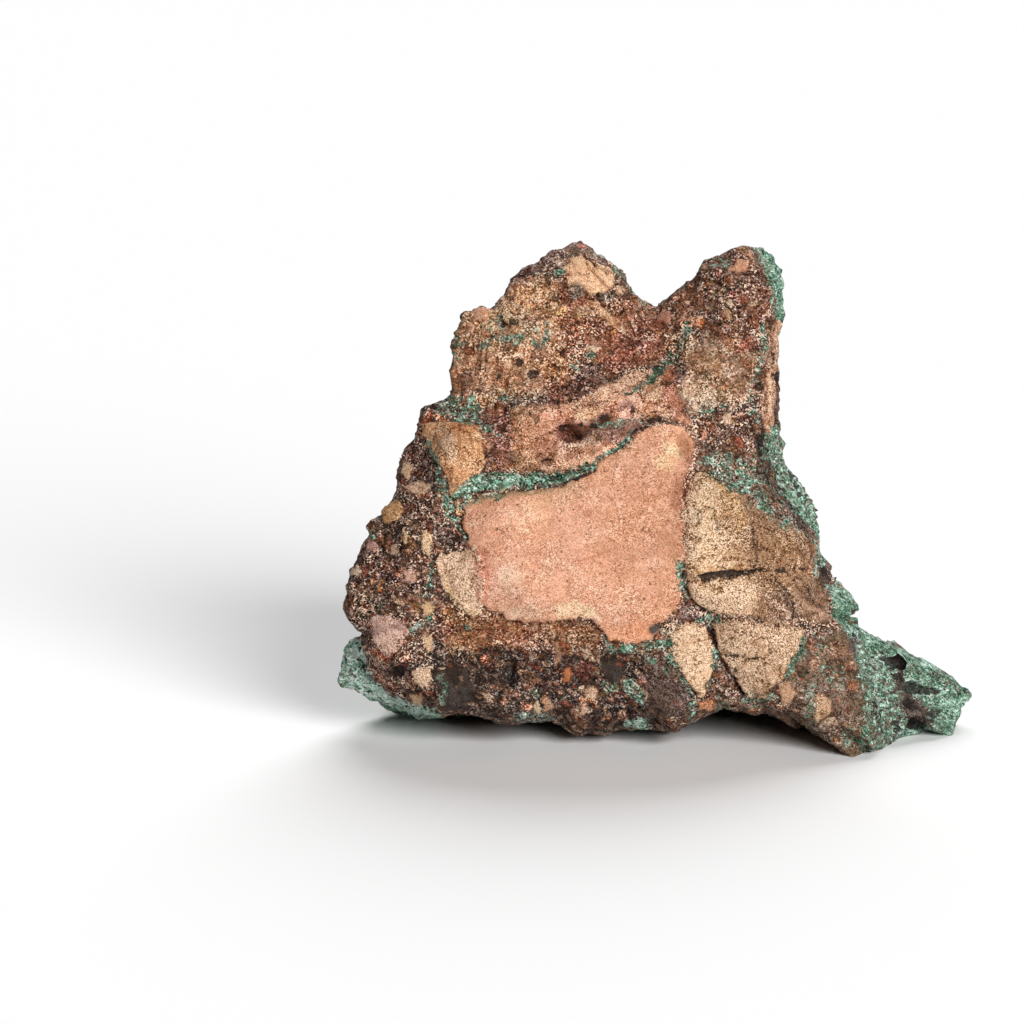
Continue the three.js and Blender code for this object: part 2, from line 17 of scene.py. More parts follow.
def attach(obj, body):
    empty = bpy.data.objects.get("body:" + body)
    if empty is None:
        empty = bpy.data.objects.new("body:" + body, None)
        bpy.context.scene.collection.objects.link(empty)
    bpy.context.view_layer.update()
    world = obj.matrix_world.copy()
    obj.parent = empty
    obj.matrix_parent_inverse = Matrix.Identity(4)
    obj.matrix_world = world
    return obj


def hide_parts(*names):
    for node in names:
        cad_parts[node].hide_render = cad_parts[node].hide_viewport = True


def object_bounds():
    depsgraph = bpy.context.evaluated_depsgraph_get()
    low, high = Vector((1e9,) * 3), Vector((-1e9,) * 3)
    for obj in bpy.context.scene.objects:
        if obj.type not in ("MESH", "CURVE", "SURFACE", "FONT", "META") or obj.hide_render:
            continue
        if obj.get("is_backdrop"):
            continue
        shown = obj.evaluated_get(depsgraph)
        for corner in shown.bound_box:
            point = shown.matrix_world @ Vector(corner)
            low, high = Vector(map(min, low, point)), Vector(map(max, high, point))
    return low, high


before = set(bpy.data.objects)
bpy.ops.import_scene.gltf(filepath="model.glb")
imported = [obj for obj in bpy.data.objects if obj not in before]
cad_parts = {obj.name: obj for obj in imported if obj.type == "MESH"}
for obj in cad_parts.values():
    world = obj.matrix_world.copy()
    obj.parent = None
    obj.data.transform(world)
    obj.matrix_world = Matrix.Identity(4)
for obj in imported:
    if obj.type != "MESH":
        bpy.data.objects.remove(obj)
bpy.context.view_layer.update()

# ---- The survey's place in the part's frame, in millimetres ----

WIDTH, SQUARES_WIDE = 110, 634  # the specimen's, in millimetres and in squares of the sheet
SQUARE = WIDTH / SQUARES_WIDE
LEAN = math.radians(12)  # how far the face leans back
ORIGIN_RIGHT, ORIGIN_BACK, BASE_LIFT = 0.22, 32.53, 0.6  # the frame's origin from the sheet's
SHEET_MIDDLE, SHEET_FOOT = 650, 757  # the square at u = 0 and v = 0
SHEET_CENTRE = 512  # the square that the camera looks straight at, both across and down
EYE = 2000  # millimetres from the camera to the sheet
CENTRE_U = (SHEET_CENTRE - SHEET_MIDDLE) * SQUARE
CENTRE_V = (SHEET_FOOT - SHEET_CENTRE) * SQUARE
SIN, COS = math.sin(LEAN), math.cos(LEAN)


def to_face(points):
    """Part frame in metres to (right, up the face, out of the face) in millimetres."""
    x, y, z = (points * 1000).T
    y, z = y + ORIGIN_BACK, z - BASE_LIFT
    return np.stack([x + ORIGIN_RIGHT, y * SIN + z * COS, z * SIN - y * COS], 1)


def from_face(points):
    """The way back from to_face."""
    u, v, w = points.T
    x, y, z = u - ORIGIN_RIGHT, v * SIN - w * COS - ORIGIN_BACK, v * COS + w * SIN + BASE_LIFT
    return np.stack([x, y, z], 1) / 1000


def to_sheet(face):
    """Sheet x and y of face points, as the camera sees them."""
    near = EYE / (EYE - face[:, 2]) / SQUARE
    across = SHEET_CENTRE + (face[:, 0] - CENTRE_U) * near
    return across, SHEET_CENTRE - (face[:, 1] - CENTRE_V) * near


def off_sheet(x, y, w):
    """The face point w out of the face that the camera sees at sheet x and y."""
    near = EYE / (EYE - w) / SQUARE
    u = CENTRE_U + (x - SHEET_CENTRE) / near
    v = CENTRE_V - (y - SHEET_CENTRE) / near
    return np.stack([u, v, w], 1)


def height_of(face):
    """Height over the ground in millimetres."""
    return from_face(face)[:, 2] * 1000


# ---- Noise ----

WORD = 2**32
PRIMES = (374761393, 668265263, 2246822519)  # one for each direction of the grid
SEED_PRIME = 3266489917


def lattice(i, j, k, seed):
    """A random number from 0 to 1 for each grid point."""
    h = np.uint32((seed * 97 + 13) * SEED_PRIME % WORD)
    for index, prime in zip((i, j, k), PRIMES):
        h = h + index.astype(np.uint32) * np.uint32(prime)
    h = (h ^ (h >> np.uint32(15))) * np.uint32(PRIMES[2])
    h = (h ^ (h >> np.uint32(13))) * np.uint32(SEED_PRIME)
    return (h ^ (h >> np.uint32(16))).astype(np.float64) / WORD


def noise(p, size, seed=0):
    """Smooth noise from -1 to 1 that varies over about size millimetres."""
    q = p / size
    cell = np.floor(q).astype(np.int64)
    f = q - cell
    f = f * f * f * (f * (f * 6 - 15) + 10)
    total = 0
    for n in range(8):
        step = np.array([n & 1, n >> 1 & 1, n >> 2 & 1])
        weight = np.prod(np.where(step, f, 1 - f), axis=1)
        i, j, k = (cell + step).T
        total = total + weight * lattice(i, j, k, seed)
    return 2 * total - 1


def fractal(p, size, octaves, seed=0):
    """Noise with octaves of it on top, each half as wide and half as strong as the last."""
    return sum(0.5**n * noise(p, size / 2**n, seed + n) for n in range(octaves))


def cells(p, size, seed=0):
    """Distances to the two nearest scattered middles, in millimetres, and two random numbers."""
    q = p / size
    home = np.floor(q).astype(np.int64)
    first = np.full(len(p), np.inf)
    second = np.full(len(p), np.inf)
    pick = np.zeros((2, len(p)))
    for n in range(27):
        step = np.array([n % 3 - 1, n // 3 % 3 - 1, n // 9 - 1])
        i, j, k = (home + step).T
        middle = home + step + np.stack([lattice(i, j, k, seed + s) for s in (1, 2, 3)], 1)
        far = np.linalg.norm(q - middle, axis=1)
        closer = far < first
        second = np.where(closer, first, np.minimum(second, far))
        picks = np.stack([lattice(i, j, k, seed + s) for s in (4, 5)])
        pick = np.where(closer, picks, pick)
        first = np.minimum(first, far)
    return first * size, second * size, pick[0], pick[1]


def smooth(low, high, t):
    """0 where t is at low, 1 where it is at high, with an S-shaped rise between."""
    t = np.clip((t - low) / (high - low), 0, 1)
    return t * t * (3 - 2 * t)


# ---- Shapes on the sheet: each gives how far inside it a point lies, in squares ----

OUTSIDE = -20.0


def near_only(measure, points, x, y):
    """Runs measure on the points near a shape, and counts the rest as outside it."""
    low, high = np.min(points, 0) + OUTSIDE, np.max(points, 0) - OUTSIDE
    near = (x > low[0]) & (x < high[0]) & (y > low[1]) & (y < high[1])
    out = np.full(len(x), OUTSIDE)
    out[near] = np.maximum(measure(x[near], y[near]), OUTSIDE)
    return out


def gap_and_place(start, end, x, y):
    """Distance to a straight line, and how far along it the nearest point is, from 0 to 1."""
    dx, dy = end[0] - start[0], end[1] - start[1]
    t = np.clip(((x - start[0]) * dx + (y - start[1]) * dy) / (dx * dx + dy * dy), 0, 1)
    return np.hypot(x - start[0] - t * dx, y - start[1] - t * dy), t


def area(*points):
    """A closed outline."""

    def measure(x, y):
        near = np.full(len(x), np.inf)
        within = np.zeros(len(x), bool)
        for start, end in zip(points, points[1:] + points[:1]):
            near = np.minimum(near, gap_and_place(start, end, x, y)[0])
            if end[1] != start[1]:
                slope = (end[0] - start[0]) / (end[1] - start[1])
                crossed = (start[1] > y) != (end[1] > y)
                within ^= crossed & (x < start[0] + (y - start[1]) * slope)
        return np.where(within, near, -near)

    return lambda x, y: near_only(measure, points, x, y)


def line(*points):
    """A line whose points are x, y and its width there."""

    def measure(x, y):
        best = np.full(len(x), OUTSIDE)
        for start, end in zip(points, points[1:]):
            gap, t = gap_and_place(start, end, x, y)
            best = np.maximum(best, (start[2] + t * (end[2] - start[2])) / 2 - gap)
        return best

    return lambda x, y: near_only(measure, [point[:2] for point in points], x, y)


def oval(middle_x, middle_y, half_width, half_height, turn=0):
    """An ellipse, turned anticlockwise by turn degrees."""
    a = math.radians(turn)
    reach = max(half_width, half_height)
    corners = [(middle_x - reach, middle_y - reach), (middle_x + reach, middle_y + reach)]

    def measure(x, y):
        dx, dy = x - middle_x, middle_y - y
        across, up = dx * math.cos(a) + dy * math.sin(a), dy * math.cos(a) - dx * math.sin(a)
        far = np.hypot(across / half_width, up / half_height)
        return (1 - far) * min(half_width, half_height)

    return lambda x, y: near_only(measure, corners, x, y)


# The silhouette, clockwise from the top of the left peak.
SILHOUETTE = [
    (578, 241), (587, 243), (592, 248), (597, 253), (605, 256), (612, 262), (620, 268),
    (626, 274), (630, 284), (634, 291), (640, 297), (645, 301), (650, 304), (657, 305), (662, 300),
    (668, 297), (672, 292), (680, 286), (685, 281), (690, 279), (695, 275), (700, 266),
    (704, 260), (710, 256), (720, 254), (728, 250), (735, 247), (742, 245), (750, 246), (758, 247),
    (765, 250), (772, 254), (776, 260), (781, 268), (783, 278), (785, 290), (785, 299),
    (786, 308), (786, 316), (783, 325), (781, 335), (780, 350), (779, 370), (780, 390), (779, 420),
    (781, 430), (783, 445), (785, 452), (783, 458), (784, 463), (790, 470), (796, 477), (802, 484),
    (805, 490), (810, 498), (815, 504), (818, 515), (819, 527), (820, 540), (819, 549), (824, 557),
    (830, 567), (836, 578), (842, 586), (848, 590), (853, 597), (860, 606), (856, 612), (858, 618),
    (862, 625), (872, 632), (884, 640), (896, 645), (908, 650), (920, 656), (930, 659), (938, 661),
    (943, 667), (947, 672), (956, 676), (963, 680), (967, 687), (969, 695), (966, 703), (962, 712),
    (958, 720), (955, 728), (953, 736), (949, 738), (940, 735), (930, 732), (918, 735), (908, 737),
    (900, 738), (893, 743), (885, 748), (876, 752), (865, 753), (858, 756), (848, 758), (840, 755),
    (833, 748), (826, 741), (818, 739), (812, 733), (803, 732), (795, 730), (788, 725), (779, 720),
    (770, 716), (760, 715), (752, 716), (745, 713), (735, 712), (725, 709), (717, 712), (708, 716),
    (700, 720), (692, 723), (682, 729), (675, 733), (665, 732), (655, 730), (640, 730), (620, 730),
    (612, 733), (605, 736), (595, 734), (585, 735), (577, 736), (568, 732), (560, 725), (550, 722),
    (530, 723), (510, 726), (497, 724), (490, 720), (483, 718), (470, 717), (452, 715), (445, 719),
    (430, 720), (415, 718), (400, 714), (390, 711), (380, 706), (370, 700), (360, 694), (350, 690),
    (335, 683), (338, 676), (341, 668), (342, 658), (343, 648), (347, 641), (355, 638), (358, 632),
    (352, 625), (347, 620), (344, 613), (343, 605), (345, 595), (346, 585), (349, 575), (352, 567),
    (355, 560), (358, 553), (363, 545), (367, 535), (366, 527), (370, 520), (378, 516), (382, 508),
    (390, 503), (393, 495), (397, 488), (395, 480), (397, 470), (400, 460), (402, 452), (407, 445),
    (412, 440), (417, 433), (416, 423), (420, 416), (421, 408), (428, 404), (437, 401), (445, 400),
    (450, 395), (450, 385), (450, 370), (451, 360), (450, 350), (452, 340), (455, 330), (459, 320),
    (462, 312), (470, 311), (475, 307), (480, 305), (487, 307), (492, 308), (496, 302), (500, 298),
    (505, 292), (507, 285), (510, 278), (517, 273), (525, 267), (533, 263), (540, 260), (545, 254),
    (550, 251), (558, 249), (566, 246), (572, 243),
]
STAR = (640, 560)  # every point of the silhouette is seen from here

# ---- The mesh ----

COARSE, FINE = 0.8, 0.38  # millimetres between the remeshed vertices, first and last
COARSE_ROUNDS, FINE_ROUNDS = 7, 6  # of smoothing, at each of these
COARSE_FLAT, FINE_FLAT = 0.3, 0.25  # what is lower than this, in millimetres, stays on the ground
MOST_TRIANGLES = 190_000

# Sprays of aragonite on the far side: sheet x and y, and how many stout crystals each has.
SPRAYS = [(480, 470, 7), (560, 600, 10), (660, 440, 8), (735, 590, 9)]
SPRAY_CLEAR = (9, 14)  # the solid's own crystals are smoothed away within this distance
SPRAY_DEPTH = (-14, -22)  # and behind this depth
SPRAY_ROUNDS = 160

BINS = 720  # directions from the star in which the silhouette is compared
EDGE_STEPS = 16  # points compared along each edge of the surveyed outline
EDGE_BAND = (0.7, 0.98)  # shares of the radius over which the move to the outline sets in
FOOT_BAND = (0.5, 9)  # heights over which a point stops sliding along the ground
FOREMOST = 8  # no point slides further towards the viewer than this depth
STANDS_UNDER = 0.12  # what is lower than this stands on the ground


def remeshed(obj, spacing):
    """The object's mesh, remeshed to a grid of spacing millimetres."""
    remesh = obj.modifiers.new("remesh", "REMESH")
    remesh.mode = "VOXEL"
    remesh.voxel_size = spacing / 1000
    graph = bpy.context.evaluated_depsgraph_get()
    mesh = bpy.data.meshes.new_from_object(obj.evaluated_get(graph))
    obj.modifiers.clear()
    return mesh


def read(collection, name, width, kind=float):
    """An attribute of all of a mesh's points or edges, a row for each."""
    out = np.empty(len(collection) * width, kind)
    collection.foreach_get(name, out)
    return out.reshape(-1, width)


def set_points(mesh, points):
    mesh.vertices.foreach_set("co", points.ravel())
    mesh.update()


def relaxed(points, links, rounds, share=0.5):
    """Moves each point towards the mean of its neighbours, round after round."""
    a, b = links.T
    count = np.maximum(np.bincount(links.ravel(), minlength=len(points)), 1)[:, None]
    for _ in range(rounds):
        columns = [
            np.bincount(a, points[b, axis], len(points))
            + np.bincount(b, points[a, axis], len(points))
            for axis in range(3)
        ]
        points = points + share * (np.stack(columns, 1) / count - points)
    return points


def near_sprays(face):
    """1 at a spray on the far side, falling to 0 round it."""
    best = np.zeros(len(face))
    for sheet_x, sheet_y, _ in SPRAYS:
        u, v = on_sheet(sheet_x, sheet_y)
        best = np.maximum(best, 1 - smooth(*SPRAY_CLEAR, np.hypot(face[:, 0] - u, face[:, 1] - v)))
    return best * smooth(*SPRAY_DEPTH, face[:, 2])


def on_sheet(sheet_x, sheet_y):
    """u and v, in millimetres, of a square of the sheet."""
    return (sheet_x - SHEET_MIDDLE) * SQUARE, (SHEET_FOOT - sheet_y) * SQUARE


MIDDLES = np.arange(BINS) * 2 * math.pi / BINS - math.pi  # the directions themselves


def around(angle, angles, values):
    """Values at some angles, read at others in between."""
    return np.interp(angle, angles, values, period=2 * math.pi)


def radial_profile(x, y, widest):
    """Angle and distance from the star, and the widest or mean distance in each direction."""
    angle, radius = np.arctan2(y - STAR[1], x - STAR[0]), np.hypot(x - STAR[0], y - STAR[1])
    place = np.round((angle + math.pi) / (2 * math.pi) * BINS).astype(int) % BINS
    out = np.zeros(BINS)
    if widest:
        np.maximum.at(out, place, radius)
    else:
        out = np.bincount(place, radius, BINS) / np.maximum(np.bincount(place, minlength=BINS), 1)
    have = out > 0
    return angle, radius, around(MIDDLES, MIDDLES[have], out[have])


def fitted(face, rounds, blur):
    """Moves the points so that the silhouette is as surveyed, to within blur directions."""
    steps = np.linspace(0, 1, EDGE_STEPS, endpoint=False)[:, None]
    corners = np.array(SILHOUETTE, float)[:, None]
    target = corners * (1 - steps) + np.roll(corners, -1, 0) * steps
    wanted = radial_profile(*target.reshape(-1, 2).T, False)[2]
    window = np.hanning(2 * blur + 3)[1:-1]
    for _ in range(rounds):
        x, y = to_sheet(face)
        angle, radius, now = radial_profile(x, y, True)
        ratio = np.convolve(np.tile(wanted / now, 3), window / window.sum(), "same")[BINS : 2 * BINS]
        widest = around(angle, MIDDLES, now)
        scale = 1 + (around(angle, MIDDLES, ratio) - 1) * smooth(*EDGE_BAND, radius / widest)
        new_y = STAR[1] + (y - STAR[1]) * scale
        # Near the ground a point slides along it, further back for a higher place on the sheet.
        height = height_of(face)
        slide = (new_y - y) * SQUARE * COS / SIN * (1 - smooth(*FOOT_BAND, height))
        depth = np.minimum(face[:, 2] + slide, FOREMOST)
        face = off_sheet(STAR[0] + (x - STAR[0]) * scale, new_y, depth)
        face = grounded(face, height)
    return face


def grounded(face, height):
    """Keeps what stood on the ground on it, and lets nothing sink into it."""
    points = from_face(face)
    points[:, 2] = np.where(height < STANDS_UNDER, 0, np.maximum(points[:, 2], 0))
    return to_face(points)


def smoothed(spacing, rounds, flat_under, clear_sprays):
    """Remeshes the stone and smooths it, and gives its mesh and its points."""
    mesh = remeshed(stone, spacing)
    points, links = read(mesh.vertices, "co", 3), read(mesh.edges, "vertices", 2, np.int32)
    flat = points[:, 2] * 1000 < flat_under
    if clear_sprays:
        points = relaxed(points, links, SPRAY_ROUNDS, 0.7 * near_sprays(to_face(points))[:, None])
    points = relaxed(points, links, rounds)
    points[flat, 2] = 0
    set_points(mesh, points)
    stone.data = mesh
    return mesh, points


def added(name, data):
    """A new object in the scene."""
    obj = bpy.data.objects.new(name, data)
    bpy.context.scene.collection.objects.link(obj)
    return obj


stone = added("stone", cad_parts["specimen"].data.copy())
smoothed(COARSE, COARSE_ROUNDS, COARSE_FLAT, True)
mesh, points = smoothed(FINE, FINE_ROUNDS, FINE_FLAT, False)
face = fitted(to_face(points), 5, 2)
set_points(mesh, from_face(face))
x, y = to_sheet(face)
normal = read(mesh.vertex_normals, "vector", 3)
facing = normal[:, 2] * SIN - normal[:, 1] * COS  # 1 for a surface that faces the viewer
front = smooth(-0.1, 0.3, facing)
height = height_of(face)

# ---- What the face carries ----

PINK_BED = area((508, 412), (560, 402), (600, 388), (640, 372), (662, 366), (664, 396), (690, 420),
                (664, 416), (636, 432), (612, 452), (578, 474), (530, 474), (498, 470))
CLAST_RISE = 0.55  # share of the rises and depths below
OPENING_DEPTH = 0.75

# Broad tones: shape, colour, how soft its edge is, share of small clasts, strength of the grain.
TONES = [
    (area((330, 500), (420, 430), (500, 480), (480, 620), (450, 720), (320, 720)),
     (91, 65, 53), 16, 0.62, 1.05),
    (area((430, 640), (500, 640), (560, 650), (640, 655), (690, 668), (702, 722), (560, 740),
          (430, 724)), (61, 42, 32), 12, 0.45, 1.05),
    (area((440, 606), (486, 604), (540, 618), (606, 630), (608, 646), (556, 652), (500, 646),
          (450, 656)), (134, 92, 65), 12, 0.3, 0.9),
    (area((645, 660), (690, 670), (692, 718), (646, 718)), (92, 71, 60), 8, 0.1, 1.0),
    (area((433, 672), (448, 666), (465, 674), (474, 690), (470, 706), (446, 714), (436, 700)),
     (64, 52, 48), 5, 0.06, 0.5),
    (area((603, 658), (615, 655), (623, 665), (618, 680), (605, 678)), (68, 56, 52), 5, 0.1, 0.6),
    (area((440, 400), (448, 315), (500, 285), (560, 270), (580, 340), (560, 392), (480, 404)),
     (191, 144, 109), 14, 0.28, 0.7),
    (area((530, 262), (560, 240), (596, 240), (630, 275), (645, 300), (600, 300), (556, 286)),
     (134, 102, 84), 10, 0.3, 0.85),
    (area((556, 285), (600, 296), (650, 305), (690, 300), (684, 346), (640, 366), (604, 380),
          (560, 402), (540, 388), (560, 350)), (132, 86, 61), 12, 0.35, 1.0),
    (area((655, 300), (690, 284), (702, 340), (672, 352), (650, 330)), (146, 106, 82), 8, 0.45, 1.0),
    (area((690, 262), (710, 240), (770, 236), (796, 300), (782, 345), (740, 352), (700, 350),
          (684, 310)), (109, 76, 56), 10, 0.45, 0.95),
    (area((690, 340), (735, 334), (762, 360), (752, 404), (720, 408), (690, 388), (682, 358)),
     (172, 135, 106), 10, 0.2, 1.0),
    (area((684, 380), (702, 376), (718, 384), (716, 404), (700, 412), (686, 402)),
     (206, 174, 149), 8, 0.05, 1.3),
    (area((694, 414), (750, 408), (768, 440), (756, 462), (700, 458)), (101, 74, 57), 8, 0.45, 1.0),
    (area((655, 368), (672, 370), (684, 396), (690, 420), (664, 416), (648, 402), (646, 384)),
     (172, 116, 90), 8, 0.05, 0.7),
    (PINK_BED, (202, 148, 118), 7, 0.06, 0.8),
    (area((484, 428), (496, 404), (512, 408), (516, 440), (510, 470), (488, 474)),
     (128, 84, 66), 7, 0.3, 0.9),
    (area((786, 648), (845, 630), (872, 690), (880, 756), (840, 762), (786, 728)),
     (112, 88, 70), 9, 0.2, 0.9),
    (area((760, 432), (786, 440), (826, 540), (842, 600), (822, 600), (806, 530), (780, 500),
          (756, 470)), (46, 38, 33), 8, 0.2, 1.1),
    (area((838, 600), (880, 620), (980, 664), (970, 748), (880, 752), (864, 690), (846, 640)),
     (82, 72, 66), 8, 0.05, 1.0),
]

# Clasts with a shape of their own: shape, colour, rise in millimetres, edge width, grain.
SLAB = area(
    (462, 505), (480, 498), (500, 494), (520, 493), (545, 488), (575, 481), (590, 471), (605, 459),
    (620, 449), (635, 439), (650, 429), (662, 424), (684, 424), (694, 440), (693, 455),
    (689, 465), (685, 480), (683, 500), (684, 540), (686, 560), (681, 575), (679, 590), (680, 600),
    (672, 612), (668, 618), (655, 622), (660, 630), (650, 640), (625, 642), (612, 642), (606, 634),
    (599, 626), (588, 619), (578, 617), (560, 620), (545, 623), (525, 622), (505, 617), (494, 609),
    (486, 604), (480, 600), (474, 560), (467, 540), (463, 528), (467, 512),
)
WEDGE = area((437, 560), (442, 556), (455, 553), (478, 547), (483, 560), (484, 590), (482, 604),
             (476, 618), (468, 615), (462, 608), (452, 598), (443, 587), (438, 575))
BOULDER = area((700, 470), (690, 482), (686, 494), (684, 510), (684, 540), (686, 560), (688, 575),
               (690, 590), (695, 600), (703, 608), (715, 616), (740, 615), (770, 622), (800, 620),
               (834, 622), (826, 600), (820, 590), (819, 575), (818, 560), (815, 545), (800, 530),
               (780, 520), (765, 512), (750, 500), (735, 492), (720, 482))
FRAGMENT_A = area((667, 640), (680, 625), (695, 622), (705, 628), (712, 640), (714, 655),
                  (713, 672), (706, 685), (706, 695), (700, 700), (693, 690), (685, 675),
                  (675, 662), (668, 650))
FRAGMENT_B = area((713, 622), (735, 618), (760, 622), (785, 622), (802, 632), (801, 645),
                  (795, 656), (787, 668), (782, 680), (770, 688), (760, 694), (752, 700),
                  (744, 692), (736, 680), (728, 668), (720, 655), (716, 640))
OCHRE_BLOCK = area((418, 425), (440, 421), (478, 423), (483, 440), (484, 465), (475, 478),
                   (460, 486), (454, 497), (447, 485), (443, 470), (430, 455))
CLASTS = [
    (SLAB, (220, 162, 131), 0.5, 2.5, 0.44),
    (WEDGE, (223, 183, 154), 0.45, 2, 1.0),
    (BOULDER, (182, 143, 108), 0.5, 3, 1.15),
    (FRAGMENT_A, (230, 193, 158), 0.6, 2.5, 0.7),
    (FRAGMENT_B, (200, 163, 131), 0.55, 2.5, 0.95),
    (OCHRE_BLOCK, (201, 149, 107), 0.5, 3, 0.85),
    (area((365, 627), (372, 618), (385, 615), (398, 620), (408, 632), (402, 645), (392, 652),
          (387, 660), (375, 648)), (200, 160, 144), 0.5, 4, 0.7),
    (area((562, 268), (567, 261), (573, 257), (581, 253), (588, 259), (595, 264), (604, 264),
          (611, 268), (614, 276), (612, 284), (606, 288), (600, 292), (588, 294), (582, 286),
          (572, 284), (565, 276)), (224, 178, 140), 0.4, 3, 0.6),
    (area((783, 305), (787, 312), (785, 330), (780, 350), (777, 375), (776, 410), (772, 430),
          (768, 437), (764, 428), (761, 404), (763, 370), (766, 348), (772, 330), (778, 312)),
     (190, 146, 117), 0.5, 3, 0.85),
    (area((588, 300), (597, 300), (610, 311), (618, 321), (610, 326), (598, 316)),
     (190, 146, 112), 0.35, 2, 0.6),
    (area((380, 514), (388, 504), (399, 500), (404, 508), (398, 519), (386, 527)),
     (204, 154, 106), 0.5, 2, 0.7),
    (area((419, 534), (427, 529), (432, 541), (428, 548), (431, 558), (424, 551)),
     (212, 178, 140), 0.4, 1.5, 0.5),
    (area((365, 545), (372, 540), (379, 547), (376, 552), (367, 550)), (192, 146, 134), 0.3, 1.5,
     0.5),
    (area((389, 546), (396, 544), (399, 551), (393, 555)), (196, 160, 134), 0.3, 1.5, 0.5),
    (area((402, 528), (405, 527), (407, 541), (404, 543)), (202, 176, 138), 0.3, 1, 0.4),
    (area((349, 569), (356, 566), (361, 575), (354, 579)), (204, 178, 158), 0.3, 1.5, 0.5),
    (area((404, 573), (412, 569), (418, 572), (415, 581), (406, 580)), (190, 150, 130), 0.3, 1.5,
     0.5),
    (area((377, 584), (381, 583), (382, 594), (378, 593)), (204, 138, 86), 0.25, 1, 0.4),
    (area((421, 605), (428, 601), (435, 607), (431, 617), (423, 612)), (202, 168, 128), 0.4, 1.5,
     0.5),
    (area((424, 637), (431, 635), (432, 651), (427, 653), (424, 646)), (200, 166, 132), 0.35, 1.5,
     0.5),
    (area((412, 672), (420, 667), (429, 669), (432, 679), (425, 690), (415, 685)),
     (208, 174, 142), 0.45, 1.5, 0.55),
    (area((407, 699), (414, 696), (421, 701), (418, 710), (409, 707)), (206, 170, 130), 0.4, 1.5,
     0.6),
    (area((401, 464), (407, 459), (412, 468), (409, 478), (402, 475)), (206, 170, 138), 0.35, 1.5,
     0.5),
    (area((404, 487), (416, 482), (431, 485), (424, 493), (410, 494)), (204, 168, 138), 0.3, 1.5,
     0.5),
    (area((470, 312), (476, 306), (484, 306), (490, 312), (486, 318), (474, 317)),
     (214, 160, 128), 0.5, 2, 0.35),
    (area((727, 267), (735, 261), (750, 260), (749, 267), (738, 271), (729, 271)),
     (202, 150, 118), 0.4, 1.5, 0.4),
    (area((656, 313), (665, 306), (671, 312), (668, 321), (658, 320)), (196, 142, 120), 0.35, 1.5,
     0.4),
    (area((700, 431), (707, 429), (709, 437), (702, 439)), (196, 138, 114), 0.3, 1.5, 0.4),
    (area((723, 416), (731, 414), (733, 422), (726, 424)), (204, 170, 144), 0.3, 1.5, 0.5),
    (area((723, 310), (729, 308), (731, 321), (725, 323)), (178, 142, 106), 0.3, 1.5, 0.5),
    (area((725, 302), (730, 298), (733, 304), (728, 307)), (212, 184, 162), 0.3, 1, 0.4),
    (area((718, 298), (724, 296), (724, 301), (719, 302)), (206, 172, 154), 0.3, 1, 0.4),
    (area((583, 690), (592, 685), (598, 692), (592, 700), (584, 698)), (206, 170, 142), 0.4, 1.5,
     0.5),
    (area((579, 705), (588, 702), (589, 714), (581, 717)), (198, 160, 134), 0.35, 1.5, 0.5),
    (area((531, 701), (537, 699), (541, 714), (533, 716)), (208, 180, 148), 0.35, 1.5, 0.4),
    (area((541, 696), (549, 694), (553, 708), (544, 712)), (188, 146, 116), 0.35, 1.5, 0.5),
    (area((553, 642), (560, 640), (561, 660), (556, 668)), (178, 132, 98), 0.3, 1.5, 0.5),
    (area((562, 668), (569, 665), (571, 679), (564, 683)), (180, 112, 72), 0.3, 1.5, 0.4),
    (area((697, 704), (707, 700), (717, 705), (711, 712), (701, 712)), (196, 136, 98), 0.5, 2, 0.6),
    (area((756, 688), (770, 685), (772, 696), (760, 702)), (186, 148, 116), 0.4, 1.5, 0.6),
    (area((778, 684), (790, 682), (797, 692), (790, 703), (780, 700)), (190, 150, 118), 0.4, 1.5,
     0.6),
    (area((810, 699), (820, 693), (831, 700), (830, 714), (818, 722), (810, 712)),
     (184, 148, 116), 0.5, 2, 0.6),
    (area((498, 484), (506, 482), (509, 488), (501, 491)), (206, 190, 152), 0.2, 1, 0.3),
    (area((648, 628), (655, 622), (661, 625), (656, 633), (649, 633)), (86, 76, 76), 0.2, 1, 0.3),
    (area((584, 348), (594, 344), (601, 348), (596, 354)), (206, 178, 150), 0.3, 1, 0.4),
    (area((538, 345), (546, 331), (551, 333), (544, 346)), (196, 186, 162), 0.3, 1, 0.4),
]

